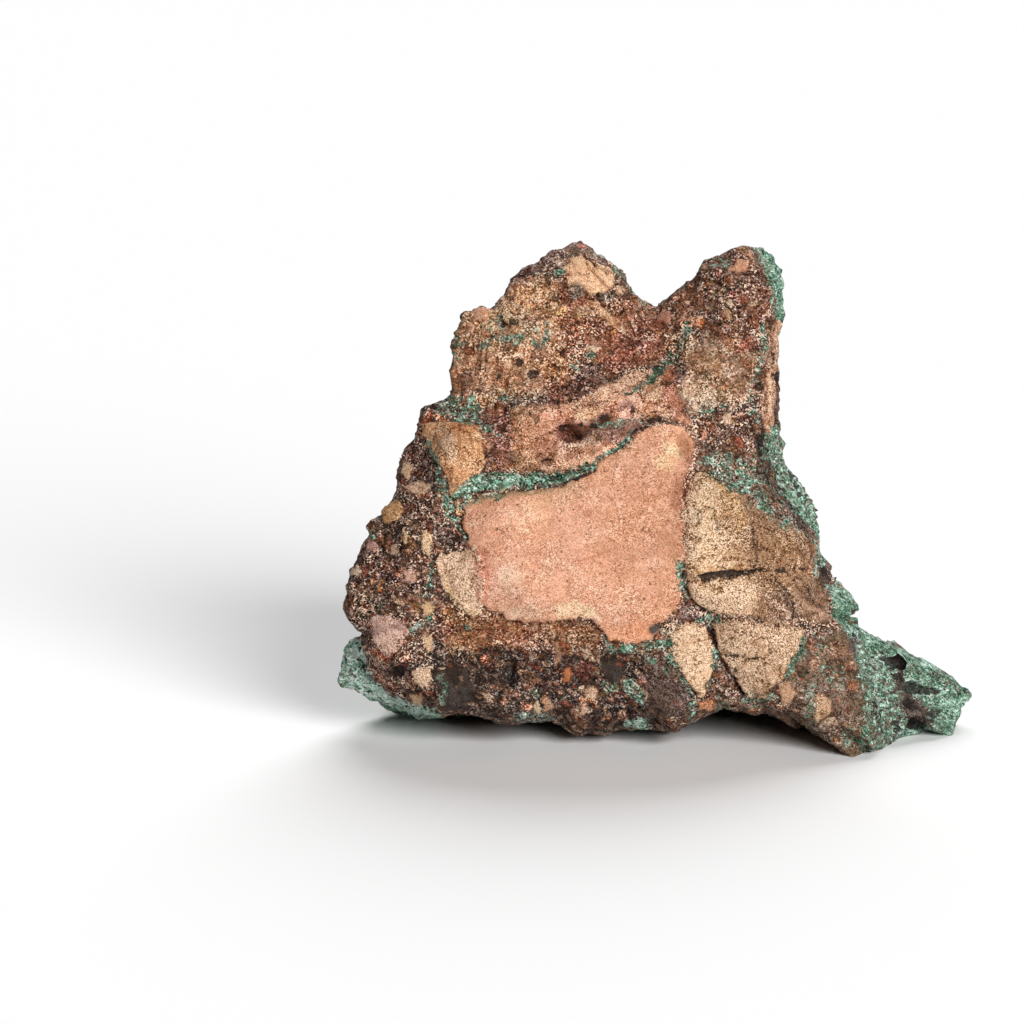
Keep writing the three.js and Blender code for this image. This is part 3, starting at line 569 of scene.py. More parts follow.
# Stains, streaks and bare spots, with some painted highlights and painted shade among them: shape,
# colour, strength, how soft the edge is.
STAINS = [
    (area((557, 425), (566, 418), (578, 421), (589, 426), (594, 435), (584, 443), (570, 445),
           (560, 440), (555, 433)), (110, 62, 47), 0.9, 5),
    (oval(564, 426, 4, 3, 0), (150, 92, 66), 0.8, 2),
    (oval(580, 437, 4, 3, 0), (156, 98, 72), 0.7, 2),
    (oval(594, 424, 7, 6, 0), (110, 66, 50), 0.75, 3),
    (oval(602, 418, 10, 5, 15), (96, 64, 52), 0.75, 3),
    # Painted shade in a deep recess low on the face.
    (area((492, 694), (498, 662), (510, 650), (520, 668), (518, 692), (506, 700)), (44, 36, 34), 0.85,
     7),
    (line((492, 620, 10), (520, 630, 10), (560, 628, 9), (590, 628, 8)), (182, 124, 88), 0.55, 8),
    (line((612, 646, 5), (640, 646, 5), (664, 636, 5)), (200, 140, 104), 0.5, 4),
    # The boulder, in the next four: darker on its right, paler on its left; partly its own colour,
    # partly painted light falling from the left.
    (area((740, 500), (766, 510), (822, 540), (836, 622), (770, 622), (748, 612), (744, 560)),
     (144, 105, 73), 0.9, 20),
    (area((691, 500), (702, 480), (712, 490), (722, 530), (726, 570), (692, 572)),
     (230, 192, 153), 0.95, 18),
    (area((693, 582), (748, 579), (757, 594), (748, 612), (712, 614), (698, 600)),
     (238, 201, 164), 0.95, 20),
    (area((765, 590), (836, 588), (838, 626), (770, 624)), (150, 116, 92), 0.7, 10),
    (area((704, 471), (708, 470), (722, 484), (738, 500), (746, 520), (740, 538), (734, 520),
          (722, 498)), (192, 144, 92), 0.65, 6),
    (line((697, 571, 2), (720, 570, 2), (746, 567, 2)), (196, 138, 82), 0.8, 2),
    (line((712, 508, 2), (715, 520, 2.5), (717, 534, 2)), (74, 82, 62), 0.8, 1.5),
    (line((700, 512, 4), (701, 524, 4)), (130, 128, 100), 0.6, 3),
    (line((753, 524, 2), (752, 544, 4), (757, 560, 3), (752, 572, 2)), (74, 52, 40), 0.75, 2),
    (line((762, 512, 2), (772, 530, 3), (780, 552, 2)), (112, 80, 58), 0.6, 2),
    (line((790, 524, 2), (800, 545, 3), (808, 572, 2)), (92, 62, 46), 0.75, 2),
    (line((806, 534, 2), (813, 556, 3), (817, 576, 2)), (96, 66, 48), 0.75, 2),
    (line((774, 574, 2), (782, 592, 3), (790, 606, 3), (796, 620, 3)), (84, 58, 44), 0.8, 2),
    (line((788, 574, 2), (798, 588, 3), (808, 600, 3), (824, 613, 3)), (88, 60, 45), 0.8, 2),
    (line((802, 576, 2), (810, 590, 3), (824, 602, 3)), (98, 68, 52), 0.7, 2),
    (line((730, 584, 2), (742, 596, 2.5), (748, 612, 2)), (128, 92, 66), 0.6, 2),
    (line((742, 616, 2), (770, 619, 3), (806, 618, 2), (830, 606, 2)), (92, 66, 52), 0.7, 2.5),
    (line((800, 605, 3), (816, 612, 4), (834, 620, 3)), (202, 158, 126), 0.6, 2),
    (area((600, 470), (660, 430), (690, 430), (684, 560), (672, 610), (600, 560)),
     (210, 153, 120), 0.8, 30),
    (oval(520, 520, 26, 12, 5), (238, 184, 154), 0.7, 12),
    (oval(560, 500, 40, 8, 12), (208, 160, 126), 0.6, 8),
    (line((468, 502, 10), (500, 496, 8), (545, 492, 6), (575, 486, 4)), (164, 138, 104), 0.75, 5),
    (line((640, 440, 6), (620, 454, 5), (600, 468, 5)), (196, 146, 112), 0.6, 4),
    # Painted highlight on the top right of the slab.
    (oval(674, 451, 9, 6, -30), (240, 206, 160), 0.8, 6),
    (oval(664, 462, 10, 7, -20), (232, 186, 138), 0.7, 6),
    (oval(683, 446, 7, 13, 0), (156, 104, 76), 0.75, 7),
    (oval(680, 497, 9, 18, 0), (166, 108, 82), 0.75, 9),
    (oval(690, 470, 6, 20, 0), (150, 100, 76), 0.7, 7),
    (oval(640, 500, 22, 8, 10), (206, 146, 112), 0.5, 10),
    (oval(650, 545, 26, 12, 20), (204, 148, 116), 0.5, 12),
    (oval(596, 560, 34, 10, -5), (212, 152, 124), 0.5, 12),
    (oval(668, 592, 14, 18, 0), (200, 146, 114), 0.6, 10),
    (oval(482, 572, 8, 24, 0), (206, 138, 110), 0.8, 8),
    (oval(512, 580, 12, 16, 0), (232, 186, 156), 0.6, 10),
    (area((556, 606), (576, 600), (596, 608), (600, 618), (588, 617), (572, 615), (558, 619)),
     (242, 206, 166), 0.85, 6),
    (area((500, 604), (530, 606), (548, 616), (530, 620), (508, 614)), (236, 192, 158), 0.7, 6),
    (area((606, 628), (640, 622), (652, 634), (626, 641), (612, 640)), (228, 160, 122), 0.8, 5),
    (line((440, 566, 4), (444, 584, 5), (454, 598, 6), (466, 612, 7), (478, 612, 6)),
     (232, 192, 146), 0.8, 3),
    # Painted highlight: the ochre block's lit top edge.
    (area((448, 425), (480, 425), (481, 434), (450, 433)), (190, 118, 72), 0.6, 4),
    (oval(448, 446, 7, 16, 8), (198, 172, 146), 0.5, 8),
    (line((436, 434, 2), (444, 458, 3), (450, 482, 2)), (136, 88, 56), 0.7, 2),
    (line((458, 430, 2), (461, 452, 2.5), (459, 476, 2)), (146, 96, 62), 0.6, 2),
    (line((470, 432, 2), (473, 450, 3), (470, 470, 2)), (140, 92, 58), 0.6, 2),
    # Painted highlight: the ochre block's lit top edge, orange.
    (line((420, 424, 4), (432, 415, 5), (446, 419, 5)), (196, 100, 58), 0.85, 3),
    (line((434, 470, 3), (440, 486, 3), (446, 500, 3)), (196, 140, 84), 0.7, 2),
    (line((455, 504, 4), (462, 516, 5), (466, 530, 4)), (200, 128, 66), 0.85, 2),
    (line((588, 302, 5), (602, 310, 6), (616, 322, 4)), (206, 158, 118), 0.6, 3),
    (oval(562, 311, 6, 4, 30), (180, 130, 72), 0.8, 3),
    (oval(583, 315, 8, 3, 10), (176, 130, 78), 0.7, 3),
    (line((608, 334, 3), (618, 332, 3)), (206, 124, 62), 0.85, 2),
    (oval(577, 291, 7, 9, 0), (90, 84, 72), 0.75, 5),
    (oval(605, 297, 7, 5, 0), (108, 108, 94), 0.7, 4),
    (line((583, 257, 2), (591, 270, 3), (599, 279, 3), (608, 288, 3)), (126, 84, 58), 0.8, 2),
    (line((594, 265, 2), (606, 270, 3), (615, 273, 2)), (140, 98, 70), 0.75, 2),
    (line((571, 262, 2), (577, 273, 2.5), (590, 284, 2)), (150, 106, 76), 0.6, 2),
    (oval(568, 276, 6, 4, 30), (176, 116, 88), 0.6, 4),
    (oval(582, 245, 4, 3, 0), (206, 118, 100), 0.85, 2),
    (area((606, 345), (650, 310), (668, 312), (660, 340), (620, 368), (600, 366)),
     (120, 72, 54), 0.6, 12),
    (oval(565, 290, 5, 10, 0), (146, 84, 60), 0.6, 6),
    (area((556, 396), (566, 378), (590, 362), (608, 364), (600, 384), (575, 399)),
     (84, 58, 46), 0.8, 8),
    (oval(530, 355, 16, 9, 15), (198, 148, 120), 0.75, 8),
    (oval(485, 375, 16, 12, 0), (192, 146, 112), 0.6, 9),
    (oval(555, 365, 10, 12, 0), (186, 134, 88), 0.6, 8),
    (oval(467, 378, 9, 8, 0), (94, 68, 56), 0.7, 6),
    (line((450, 391, 5), (480, 390, 5), (506, 395, 4)), (104, 86, 78), 0.6, 4),
    (line((576, 404, 3), (600, 392, 6), (628, 378, 6), (640, 372, 3)), (212, 162, 132), 0.75, 3),
    (line((540, 412, 4), (566, 404, 7), (590, 396, 6)), (208, 158, 126), 0.7, 4),
    (line((600, 404, 4), (626, 394, 6), (650, 392, 4)), (204, 152, 124), 0.7, 4),
    (oval(540, 430, 20, 12, 20), (204, 152, 122), 0.5, 9),
    (oval(590, 455, 18, 10, 15), (206, 152, 122), 0.6, 8),
    (oval(545, 448, 16, 6, 15), (150, 100, 76), 0.5, 6),
    (area((582, 432), (600, 422), (640, 418), (652, 420), (636, 436), (604, 444), (586, 442)),
     (98, 72, 60), 0.75, 7),
    (oval(625, 406, 12, 4, 10), (116, 74, 58), 0.75, 5),
    (oval(590, 404, 13, 3, 12), (120, 78, 58), 0.75, 4),
    (oval(497, 440, 9, 24, 10), (124, 74, 58), 0.5, 8),
    (oval(495, 410, 9, 6, 0), (170, 104, 78), 0.5, 5),
    (area((680, 322), (690, 319), (692, 326), (682, 328)), (208, 122, 76), 0.8, 2),
    (oval(700, 324, 4.5, 4, 0), (206, 112, 58), 0.9, 2),
    (area((735, 345), (748, 338), (757, 340), (752, 349), (738, 351)), (160, 92, 72), 0.85, 3),
    (oval(719, 273, 5, 6, 0), (150, 84, 72), 0.7, 4),
    (oval(731, 293, 4, 3, 0), (140, 58, 48), 0.8, 3),
    (line((772, 338, 2), (768, 372, 5), (770, 410, 4)), (212, 168, 136), 0.6, 3),
    (line((776, 322, 2), (770, 350, 3), (765, 380, 3), (767, 412, 2)), (112, 74, 56), 0.8, 2),
    (oval(778, 400, 4, 22, 0), (112, 78, 66), 0.7, 4),
    (oval(400, 658, 13, 6, -10), (142, 88, 62), 0.8, 5),
    (line((370, 652, 6), (380, 656, 6), (388, 660, 4)), (196, 102, 66), 0.85, 3),
    (line((371, 671, 6), (382, 680, 8), (392, 688, 5)), (196, 128, 104), 0.85, 3),
    (oval(396, 668, 11, 10, 20), (66, 44, 38), 0.85, 6),
    (oval(384, 640, 9, 12, -20), (220, 182, 166), 0.7, 6),
    (oval(399, 626, 8, 7, 0), (140, 106, 92), 0.6, 5),
    (oval(446, 632, 7, 9, 0), (132, 66, 52), 0.6, 5),
    (oval(486, 660, 5, 4, 0), (176, 96, 66), 0.8, 3),
    (oval(470, 640, 22, 9, 0), (150, 98, 62), 0.5, 9),
    (oval(545, 655, 16, 8, 0), (74, 52, 50), 0.6, 7),
    (oval(585, 668, 9, 9, 0), (108, 56, 46), 0.6, 5),
    (oval(640, 685, 6, 6, 0), (142, 84, 54), 0.7, 4),
    (line((582, 700, 4), (593, 700, 4)), (200, 122, 72), 0.8, 2),
    (oval(526, 708, 6, 4, 0), (190, 122, 92), 0.7, 3),
    (oval(671, 630, 8, 10, 0), (160, 140, 108), 0.6, 5),
    (area((652, 640), (672, 624), (684, 604), (680, 620), (668, 632)), (110, 72, 52), 0.7, 5),
    (area((706, 690), (714, 676), (740, 690), (748, 704), (724, 704)), (112, 84, 66), 0.8, 5),
    (oval(730, 708, 12, 5, 0), (172, 132, 104), 0.6, 4),
    (oval(853, 685, 5, 6, 0), (166, 106, 74), 0.7, 4),
    (oval(850, 668, 6, 5, 0), (172, 126, 104), 0.6, 4),
    (oval(835, 650, 10, 7, 0), (178, 138, 110), 0.5, 6),
    (oval(815, 660, 4, 10, 0), (190, 142, 108), 0.5, 4),
    (oval(857, 650, 8, 9, 0), (96, 82, 88), 0.7, 5),
    (line((822, 562, 7), (829, 576, 10), (836, 590, 6)), (64, 58, 60), 0.9, 4),
    (oval(794, 486, 6, 12, -35), (70, 54, 50), 0.8, 5),
    (oval(806, 516, 4, 12, -20), (74, 58, 50), 0.8, 5),
]

# Malachite: shape, how full it is at most (under 0 it is only speckled), and its tone from dark
# to pale.
MALACHITE = [
    (line((455, 496, 6), (462, 489, 14), (472, 483, 18), (490, 481, 17), (510, 480, 14),
          (519, 481, 8)), 3.5, 0.2),
    (line((488, 484, 7), (506, 486, 8)), 5, 0.6),
    (line((523, 482, 9), (530, 482, 15), (537, 480, 12)), 5, -0.1),
    (line((541, 480, 11), (552, 480, 12), (565, 477, 11), (578, 473, 9)), 4, -0.4),
    (line((578, 472, 9), (590, 465, 8), (600, 458, 7), (612, 450, 5)), 3, -0.6),
    (line((612, 450, 5), (625, 440, 4), (634, 433, 3)), 1.5, -0.6),
    (line((458, 500, 9), (478, 500, 8), (500, 496, 5)), -0.6, 0.2),
    (line((597, 424, 4), (610, 424, 5), (625, 422, 4), (640, 420, 3)), 0.4, 0.1),
    (line((628, 393, 4), (640, 388, 5), (650, 380, 8), (657, 372, 10), (665, 364, 8)), 4, -0.7),
    (line((664, 366, 10), (672, 354, 11), (680, 345, 10), (686, 334, 7)), -0.5, -0.1),
    (line((684, 335, 6), (687, 328, 7), (686, 323, 5)), 3, 0.6),
    (line((428, 442, 4), (433, 455, 5), (437, 470, 6), (441, 485, 7), (446, 500, 9),
          (449, 514, 8)), 1.5, 0.1),
    (line((452, 516, 5), (457, 526, 7), (465, 538, 6)), 3, -0.75),
    (line((459, 506, 3), (462, 514, 3)), 2, -0.6),
    (area((440, 398), (460, 393), (476, 394), (481, 408), (478, 425), (462, 424), (448, 418),
          (438, 412)), 0.6, 0.1),
    (area((466, 396), (474, 396), (475, 402), (467, 402)), 3, 0.2),
    (line((478, 422, 7), (488, 428, 7), (498, 432, 4)), 0.6, 0.3),
    (line((505, 338, 8), (516, 340, 10), (524, 335, 7)), 0.8, 0.2),
    (line((480, 346, 8), (490, 340, 8), (496, 336, 5)), 0.4, 0.2),
    (area((486, 326), (492, 312), (502, 312), (504, 328), (490, 330)), -0.4, 0.2),
    (area((525, 330), (545, 318), (552, 334), (530, 345)), -0.7, 0.3),
    (line((538, 347, 4), (545, 340, 5), (549, 333, 3)), 2, -0.7),
    (oval(575, 365, 5, 6), 0.2, 0.1),
    (oval(506, 399, 6, 3), 1, 0.1),
    (oval(591, 356, 4, 4), 1, -0.7),
    (oval(560, 272, 4, 3), 1, -0.3),
    (line((612, 262, 3), (626, 279, 4), (638, 296, 5), (648, 304, 4)), -0.3, 0.1),
    (area((448, 330), (455, 326), (460, 345), (456, 362), (448, 360)), 0.5, 0.0),
    (line((610, 651, 5), (622, 649, 7), (640, 646, 7), (652, 645, 7), (668, 642, 12)), 3, -0.4),
    (line((604, 636, 2), (608, 646, 3), (610, 652, 3)), 1, -0.4),
    (area((640, 650), (660, 652), (684, 668), (678, 680), (660, 668), (644, 662)), -0.6, 0.3),
    (line((670, 655, 6), (678, 670, 6), (686, 684, 4), (692, 700, 6), (691, 722, 9)), 0.6, 0.0),
    (area((603, 683), (614, 682), (617, 690), (606, 692)), 1, -0.1),
    (area((620, 682), (634, 680), (646, 700), (644, 708), (630, 698)), 0.8, 0.1),
    (area((624, 724), (636, 719), (650, 722), (650, 730), (626, 730)), 4, 1.0),
    (line((515, 720, 6), (532, 717, 8), (550, 720, 6)), 0.3, 1.2),
    (oval(535, 695, 4, 3), 2, -0.2),
    (oval(563, 698, 3, 3), 2, 0.0),
    (oval(548, 662, 3, 3), 1, -0.4),
    (line((682, 565, 6), (680, 578, 6), (683, 590, 6), (685, 596, 3)), 3, -0.5),
    (line((699, 620, 5), (710, 621, 7), (722, 621, 3)), 3, -0.4),
    (line((701, 414, 3), (710, 408, 4), (724, 407, 3)), 1, -0.1),
    (line((803, 640, 4), (801, 652, 6), (794, 664, 6), (787, 678, 3)), 3, -0.45),
    (line((714, 650, 4), (716, 662, 4), (711, 680, 4), (709, 690, 3)), 0.8, -0.2),
    (area((700, 462), (712, 453), (735, 452), (756, 460), (760, 480), (745, 494), (728, 486),
          (712, 476)), 0.2, 0.3),
    (line((728, 487, 8), (740, 482, 9), (752, 478, 6)), 3, 0.0),
    (line((758, 494, 9), (764, 503, 12), (774, 511, 6)), 2, -0.5),
    (oval(786, 525, 7, 5, 20), 2, -0.4),
    (area((738, 500), (760, 498), (790, 520), (818, 545), (800, 534), (770, 520)), -1.2, 0.0),
    (line((763, 326, 5), (766, 345, 5), (762, 362, 5), (757, 380, 5)), 0.8, 0.0),
    (line((752, 395, 7), (750, 406, 7), (758, 420, 6)), -0.3, 0.1),
    (oval(721, 263, 8, 5), 0.2, 0.2),
    (oval(368, 536, 6, 5), 0.6, 0.1),
    (line((432, 565, 6), (430, 580, 5), (428, 600, 4)), 0.2, -0.5),
    (line((410, 633, 6), (418, 624, 5)), 2, 0.3),
    (line((424, 622, 5), (432, 616, 5)), 2, -0.6),
    (line((441, 677, 5), (445, 690, 4), (440, 702, 6)), 1, 0.0),
    (oval(468, 627, 3, 4), 1, 0.0),
    (oval(380, 608, 3, 3), 1, -0.2),
    (area((812, 636), (826, 640), (828, 662), (816, 660)), -1.0, 0.1),
    (area((806, 672), (816, 676), (814, 732), (806, 726)), 0.2, 0.2),
    (area((820, 664), (842, 666), (846, 690), (826, 686)), -0.9, 0.2),
    (oval(850, 738, 6, 10, 20), 0.2, 0.2),
    (area((740, 696), (772, 692), (776, 704), (744, 706)), -0.4, 0.1),
    (area((720, 700), (732, 712), (728, 716), (716, 710)), -0.2, 0.2),
    # The crust round the rims and over the tail.
    (area((757, 236), (756, 250), (764, 262), (768, 280), (773, 300), (776, 320), (806, 322),
          (806, 236)), 7, 0.3),
    (area((768, 428), (764, 446), (770, 460), (778, 470), (782, 495), (792, 508), (812, 524),
          (817, 550), (822, 566), (850, 560), (830, 470), (800, 424)), 2.2, 0.1),
    (area((756, 446), (772, 448), (790, 500), (776, 508), (758, 486)), -1.2, -0.2),
    (area((816, 556), (822, 560), (821, 576), (818, 584)), 3, 0.5),
    (area((832, 585), (850, 582), (872, 606), (862, 632), (842, 628), (832, 604)), 6, -0.1),
    (area((838, 612), (850, 616), (880, 628), (990, 664), (990, 700), (948, 676), (900, 662),
          (868, 650), (846, 636)), 6, -0.1),
    (area((854, 644), (884, 648), (898, 668), (894, 700), (872, 706), (858, 676)), 1.8, 0.5),
    (area((866, 696), (900, 690), (906, 728), (890, 752), (858, 752)), 1.0, 0.2),
    (area((900, 656), (975, 676), (975, 735), (940, 740), (926, 708), (906, 690)), 3, -0.1),
    (area((898, 724), (930, 726), (956, 730), (950, 744), (896, 744)), 4, 0.5),
    (area((938, 700), (975, 684), (966, 742), (942, 734)), 5, 0.25),
    (area((354, 636), (361, 650), (368, 668), (374, 684), (386, 698), (404, 708), (440, 712),
          (440, 740), (320, 740), (320, 630)), 3.5, 1.15),
    (oval(351, 658, 7, 11, -15), 3.5, 2.1),
    (oval(372, 696, 10, 4, -30), 3.5, 1.9),
    (area((386, 698), (404, 706), (440, 712), (440, 740), (386, 730)), 0.8, 1.3),
]

# Cracks, pits and vugs: shape, depth in millimetres, and how dark their painted shade is.
OPENINGS = [
    (line((697, 578, 4), (704, 578, 7), (720, 576, 7), (740, 573, 5), (752, 572, 3.5),
          (770, 570, 2)), 2.4, 1),
    (line((768, 570, 3), (790, 571, 3.5), (808, 569, 2.5)), 0.6, 0.85),
    (line((775, 576, 2.5), (786, 592, 3.5), (792, 604, 3.5), (793, 620, 3)), 0.5, 0.75),
    (line((799, 577, 2.5), (808, 590, 3), (814, 604, 2.5)), 0.4, 0.7),
    (line((742, 621, 2), (760, 624, 2.5), (780, 626, 3), (812, 626, 3)), 0.4, 0.75),
    (line((636, 422, 3), (646, 418, 5), (657, 414, 4)), 0.8, 0.7),
    (line((706, 622, 3), (712, 634, 3), (715, 645, 4), (716, 654, 3)), 1.2, 0.9),
    (line((716, 654, 3), (726, 668, 3), (736, 682, 3), (745, 698, 4)), 0.9, 0.6),
    (line((718, 652, 2), (735, 656, 3), (752, 660, 3), (766, 655, 2.5), (776, 649, 2)), 0.4, 0.8),
    (line((735, 660, 2.5), (735, 680, 2.5), (746, 698, 3)), 0.4, 0.8),
    (line((519, 477, 3), (520, 484, 4), (519, 489, 3)), 1.0, 0.9),
    (line((537, 475, 2), (540, 480, 3), (544, 487, 2)), 0.6, 0.8),
    (line((546, 487, 3), (562, 485, 4), (580, 478, 4), (594, 470, 3)), 0.8, 0.9),
    (line((596, 463, 4), (604, 457, 4)), 0.6, 0.8),
    (line((622, 443, 4), (632, 435, 5), (642, 428, 6), (652, 421, 7), (662, 416, 7)), 0.8, 0.45),
    (line((463, 512, 4), (460, 522, 3), (467, 538, 5)), 0.8, 0.8),
    (line((681, 566, 3), (682, 580, 3), (686, 594, 4), (696, 606, 4), (708, 616, 3)), 1.0, 0.8),
    (line((578, 616, 2), (590, 621, 2), (602, 632, 2), (608, 646, 2.5)), 0.5, 0.7),
    (line((774, 345, 3), (775, 360, 4), (772, 378, 3)), 1.0, 0.8),
    (oval(778, 381, 3.5, 7), 1.6, 1),
    (line((850, 632, 4), (858, 637, 6), (867, 643, 4)), 1.4, 1),
    (area((880, 656), (890, 659), (900, 655), (906, 660), (904, 668), (894, 669), (884, 664)), 0.8,
     0.9),
    (area((886, 670), (900, 669), (912, 678), (908, 684), (894, 680)), 0.6, 0.45),
    (area((902, 684), (912, 680), (920, 686), (942, 688), (936, 694), (916, 694), (906, 692)), 1.2,
     0.9),
    (oval(911, 703, 9, 6, -15), 0.8, 0.6),
    (area((908, 718), (916, 715), (926, 718), (926, 729), (912, 731), (907, 726)), 1.1, 0.8),
    (oval(897, 727, 5, 8, 20), 0.6, 0.55),
    (oval(933, 716, 8, 6), 0.8, 0.5),
    (line((868, 660, 2), (884, 668, 3), (898, 676, 2)), 0.6, 0.5),
    (oval(565, 428, 6, 5, 20), 0.8, 0.6),
    (oval(578, 436, 6, 4, -10), 0.7, 0.6),
    (oval(580, 425, 4, 3), 0.4, 0.5),
    (line((558, 434, 2), (567, 441, 3), (579, 443, 2)), 0.4, 0.6),
    (oval(593, 425, 4.5, 5, 0), 0.8, 0.6),
    (oval(602, 418, 8, 4, 15), 0.7, 0.55),
    (oval(545, 462, 6, 2.5, 15), 0.6, 0.7),
    (oval(632, 410, 5, 3, 10), 0.6, 0.6),
    (oval(640, 414, 4, 3, 10), 0.6, 0.6),
    (oval(503, 322, 3, 3), 0.7, 1),
    (oval(513, 321, 4, 4), 0.9, 1),
    (oval(519, 363, 4.5, 4.5), 0.8, 0.8),
    (oval(533, 374, 7, 6, 0), 0.8, 0.6),
    (oval(498, 376, 3, 4), 0.6, 0.9),
    (oval(500, 364, 2.5, 2.5), 0.5, 0.7),
    (area((498, 690), (501, 668), (510, 655), (515, 668), (513, 688)), 0.8, 0.3),
    (oval(398, 672, 9, 7, 30), 0.9, 0.7),
    (oval(432, 672, 4, 3), 0.4, 0.7),
    (line((783, 452, 3), (792, 474, 5), (802, 492, 5), (812, 512, 4)), 0.8, 0.7),
    (line((826, 566, 4), (834, 580, 5), (838, 592, 4)), 0.8, 0.8),
    (line((354, 642, 3), (358, 660, 4), (366, 678, 4), (380, 694, 3)), 0.8, 0.7),
    (line((343, 654, 2), (349, 672, 4), (362, 689, 4), (374, 698, 2)), 0.6, 0.65),
    (line((388, 704, 3), (404, 711, 3), (424, 714, 2)), 0.5, 0.6),
    (line((442, 566, 2), (450, 590, 2), (462, 610, 2)), 0.3, 0.3),
]

# ---- Colour, malachite and relief, point by point ----

MATRIX = (106, 82, 69)  # the rock where no tone below says otherwise
DEEPEN = np.array([0.85, 1.1, 1.4])  # rock that is darker has lost more green, and yet more blue
AT_THE_FRONT = 0.1  # marks lie where front is more than this
BESIDE_CRUST, BEHIND_CRUST = (-7, -17), (-20, -30)  # depths over which the crust sets in
CRUST_STARTS, CRUST_GAINS, BARE_LOSES = -8, 14, 9  # squares of the crust's reach

# Round things on the malachite: millimetres apart, and the radius of the smallest and the largest.
LOBES, KNOBS = (8.5, 3.6, 6.6), (4.2, 1.9, 3.2)
BEADS, SEEDS = (2.1, 0.9, 1.6), (1.2, 0.45, 0.9)
BLOCKS = 2.8  # millimetres between the middles of the broken rock's blocks
GROUND_BAND, CRUST_BAND = (0, 1.5), (0.4, 2.5)  # heights over which relief and crust set in

LEVELS = 8  # steps from the finely kept face to the coarser far side
BACK_BAND = (-0.4, 0.2)  # how much a surface faces the viewer, from the coarsest to the finest

fray = [noise(face, 2.0, s) + 0.8 * noise(face, 0.8, s + 5) for s in (31, 32)]
drift = [noise(face, 7, s) for s in (41, 42)]


def frayed(amount, wide=0.0):
    """Sheet coordinates, pushed about so that shapes drawn on them have ragged edges."""
    return x + amount * fray[0] + wide * drift[0], y + amount * fray[1] + wide * drift[1]


def covered(shape, soft, amount, wide):
    """How far a shape with a soft and ragged edge covers each point of the front, from 0 to 1."""
    return smooth(-soft / 2, soft / 2, shape(*frayed(amount, wide))) * front


def linear(colour):
    """sRGB from 0 to 255 as linear colour."""
    c = np.array(colour) / 255
    return np.where(c <= 0.04045, c / 12.92, ((c + 0.055) / 1.055) ** 2.4)


def shaded(amount):
    """What a colour is multiplied by to make it lighter, or darker with an amount below 0."""
    return np.exp(amount[:, None] * DEEPEN)


def towards(field, amount, value):
    """Moves a field towards a value, in place, by an amount from 0 to 1."""
    amount = amount if field.ndim == 1 else amount[:, None]
    field += amount * (value - field)


def streaks(turn, long, wide, seed):
    """Noise drawn out along a direction on the sheet, turned anticlockwise by turn degrees."""
    a = math.radians(turn)
    along = (face[:, 0] * math.cos(a) + face[:, 1] * math.sin(a)) / long
    across = (face[:, 1] * math.cos(a) - face[:, 0] * math.sin(a)) / wide
    return fractal(np.stack([along, across, face[:, 2] / 6], 1), 1, 2, seed)


def all_over(value):
    return np.full(len(x), float(value))


# Each is a number, or a colour, for every point of the mesh.
tint = np.tile(linear(MATRIX), (len(x), 1))
share = all_over(0.45)  # of the rock that is small clasts
grain = all_over(1)  # how strongly the sand grains show
green = all_over(OUTSIDE)  # how far inside the malachite a point is, in squares
tone = all_over(0)  # the malachite's, from dark to pale
dark = all_over(OUTSIDE)  # how far inside an opening a point is, in squares, for the painted shade in it
rise = all_over(0)  # of the clasts, less the depth of the openings, in millimetres
calm = all_over(0)  # how smooth the rock is
rim_shade = all_over(0)  # how strong the dark ring round a clast is: partly a dark seam, partly painted shadow from its rise

for shape, colour, soft, density, strength in TONES:
    amount = covered(shape, soft, 2.5, 4)
    towards(tint, amount, linear(colour))
    towards(share, amount, density)
    towards(grain, amount, strength)
warmth, olive = fractal(face, 3.6, 3, 111), fractal(face, 5.5, 3, 116)
cast = warmth[:, None] * [0.09, 0.0, -0.11] + olive[:, None] * [-0.07, 0.04, -0.05]
tint *= (1 + cast) * shaded(0.2 * fractal(face, 7, 3, 61) + 0.2 * fractal(face, 2.2, 2, 63))

for shape, colour, lift, edge, strength in CLASTS:
    depth = shape(*frayed(1.9, 1.0))
    amount = smooth(-0.8, 0.8, depth) * front
    towards(tint, amount, linear(colour))
    towards(share, amount, 0)
    towards(grain, amount, strength)
    rise += CLAST_RISE * lift * smooth(-edge / 2, edge, depth) * front
    calm = np.maximum(calm, amount * (1 - 0.6 * strength))
    rim_shade = np.maximum(rim_shade, lift * np.exp(-((depth + 1.0) ** 2) / 2) * front)
# Painted shadow round each clast, stronger the higher it rises, partly a dark seam.
tint *= shaded(-1.1 * rim_shade)

for shape, colour, strength, soft in STAINS:
    towards(tint, strength * covered(shape, soft, 1.6, 1.5), linear(colour))

slab = covered(SLAB, 2, 1.3, 1.0)
mottle = 0.12 * fractal(face, 4, 3, 65) + 0.08 * streaks(4, 5, 0.9, 68)
tint *= shaded(slab * mottle) * (1 + (slab * fractal(face, 5, 2, 66))[:, None] * [0.02, 0, -0.05])
bed = covered(PINK_BED, 6, 1.6, 1.5) * (1 - slab)
drawn = streaks(27, 6, 0.7, 69)
tint *= shaded(0.26 * bed * drawn)

for shape, most, shade in MALACHITE:
    reach = np.minimum(shape(*frayed(1.6, 1.0)), most)
    gains = smooth(-2.5, 0, reach - green) * (reach > -2.5)
    towards(tone, gains, shade)
    green = np.maximum(green, reach)
green = np.where(front > AT_THE_FRONT, green, OUTSIDE)

for shape, deep, black in OPENINGS:
    reach = shape(*frayed(1.6, 0.5))
    full = np.minimum(reach, 6 * black) - 3 * (1 - black)
    dark = np.maximum(dark, np.where(reach > -4, full, OUTSIDE))
    rise -= OPENING_DEPTH * deep * smooth(-1.5, 2.2, reach) * front
dark = np.where(front > AT_THE_FRONT, dark, OUTSIDE)

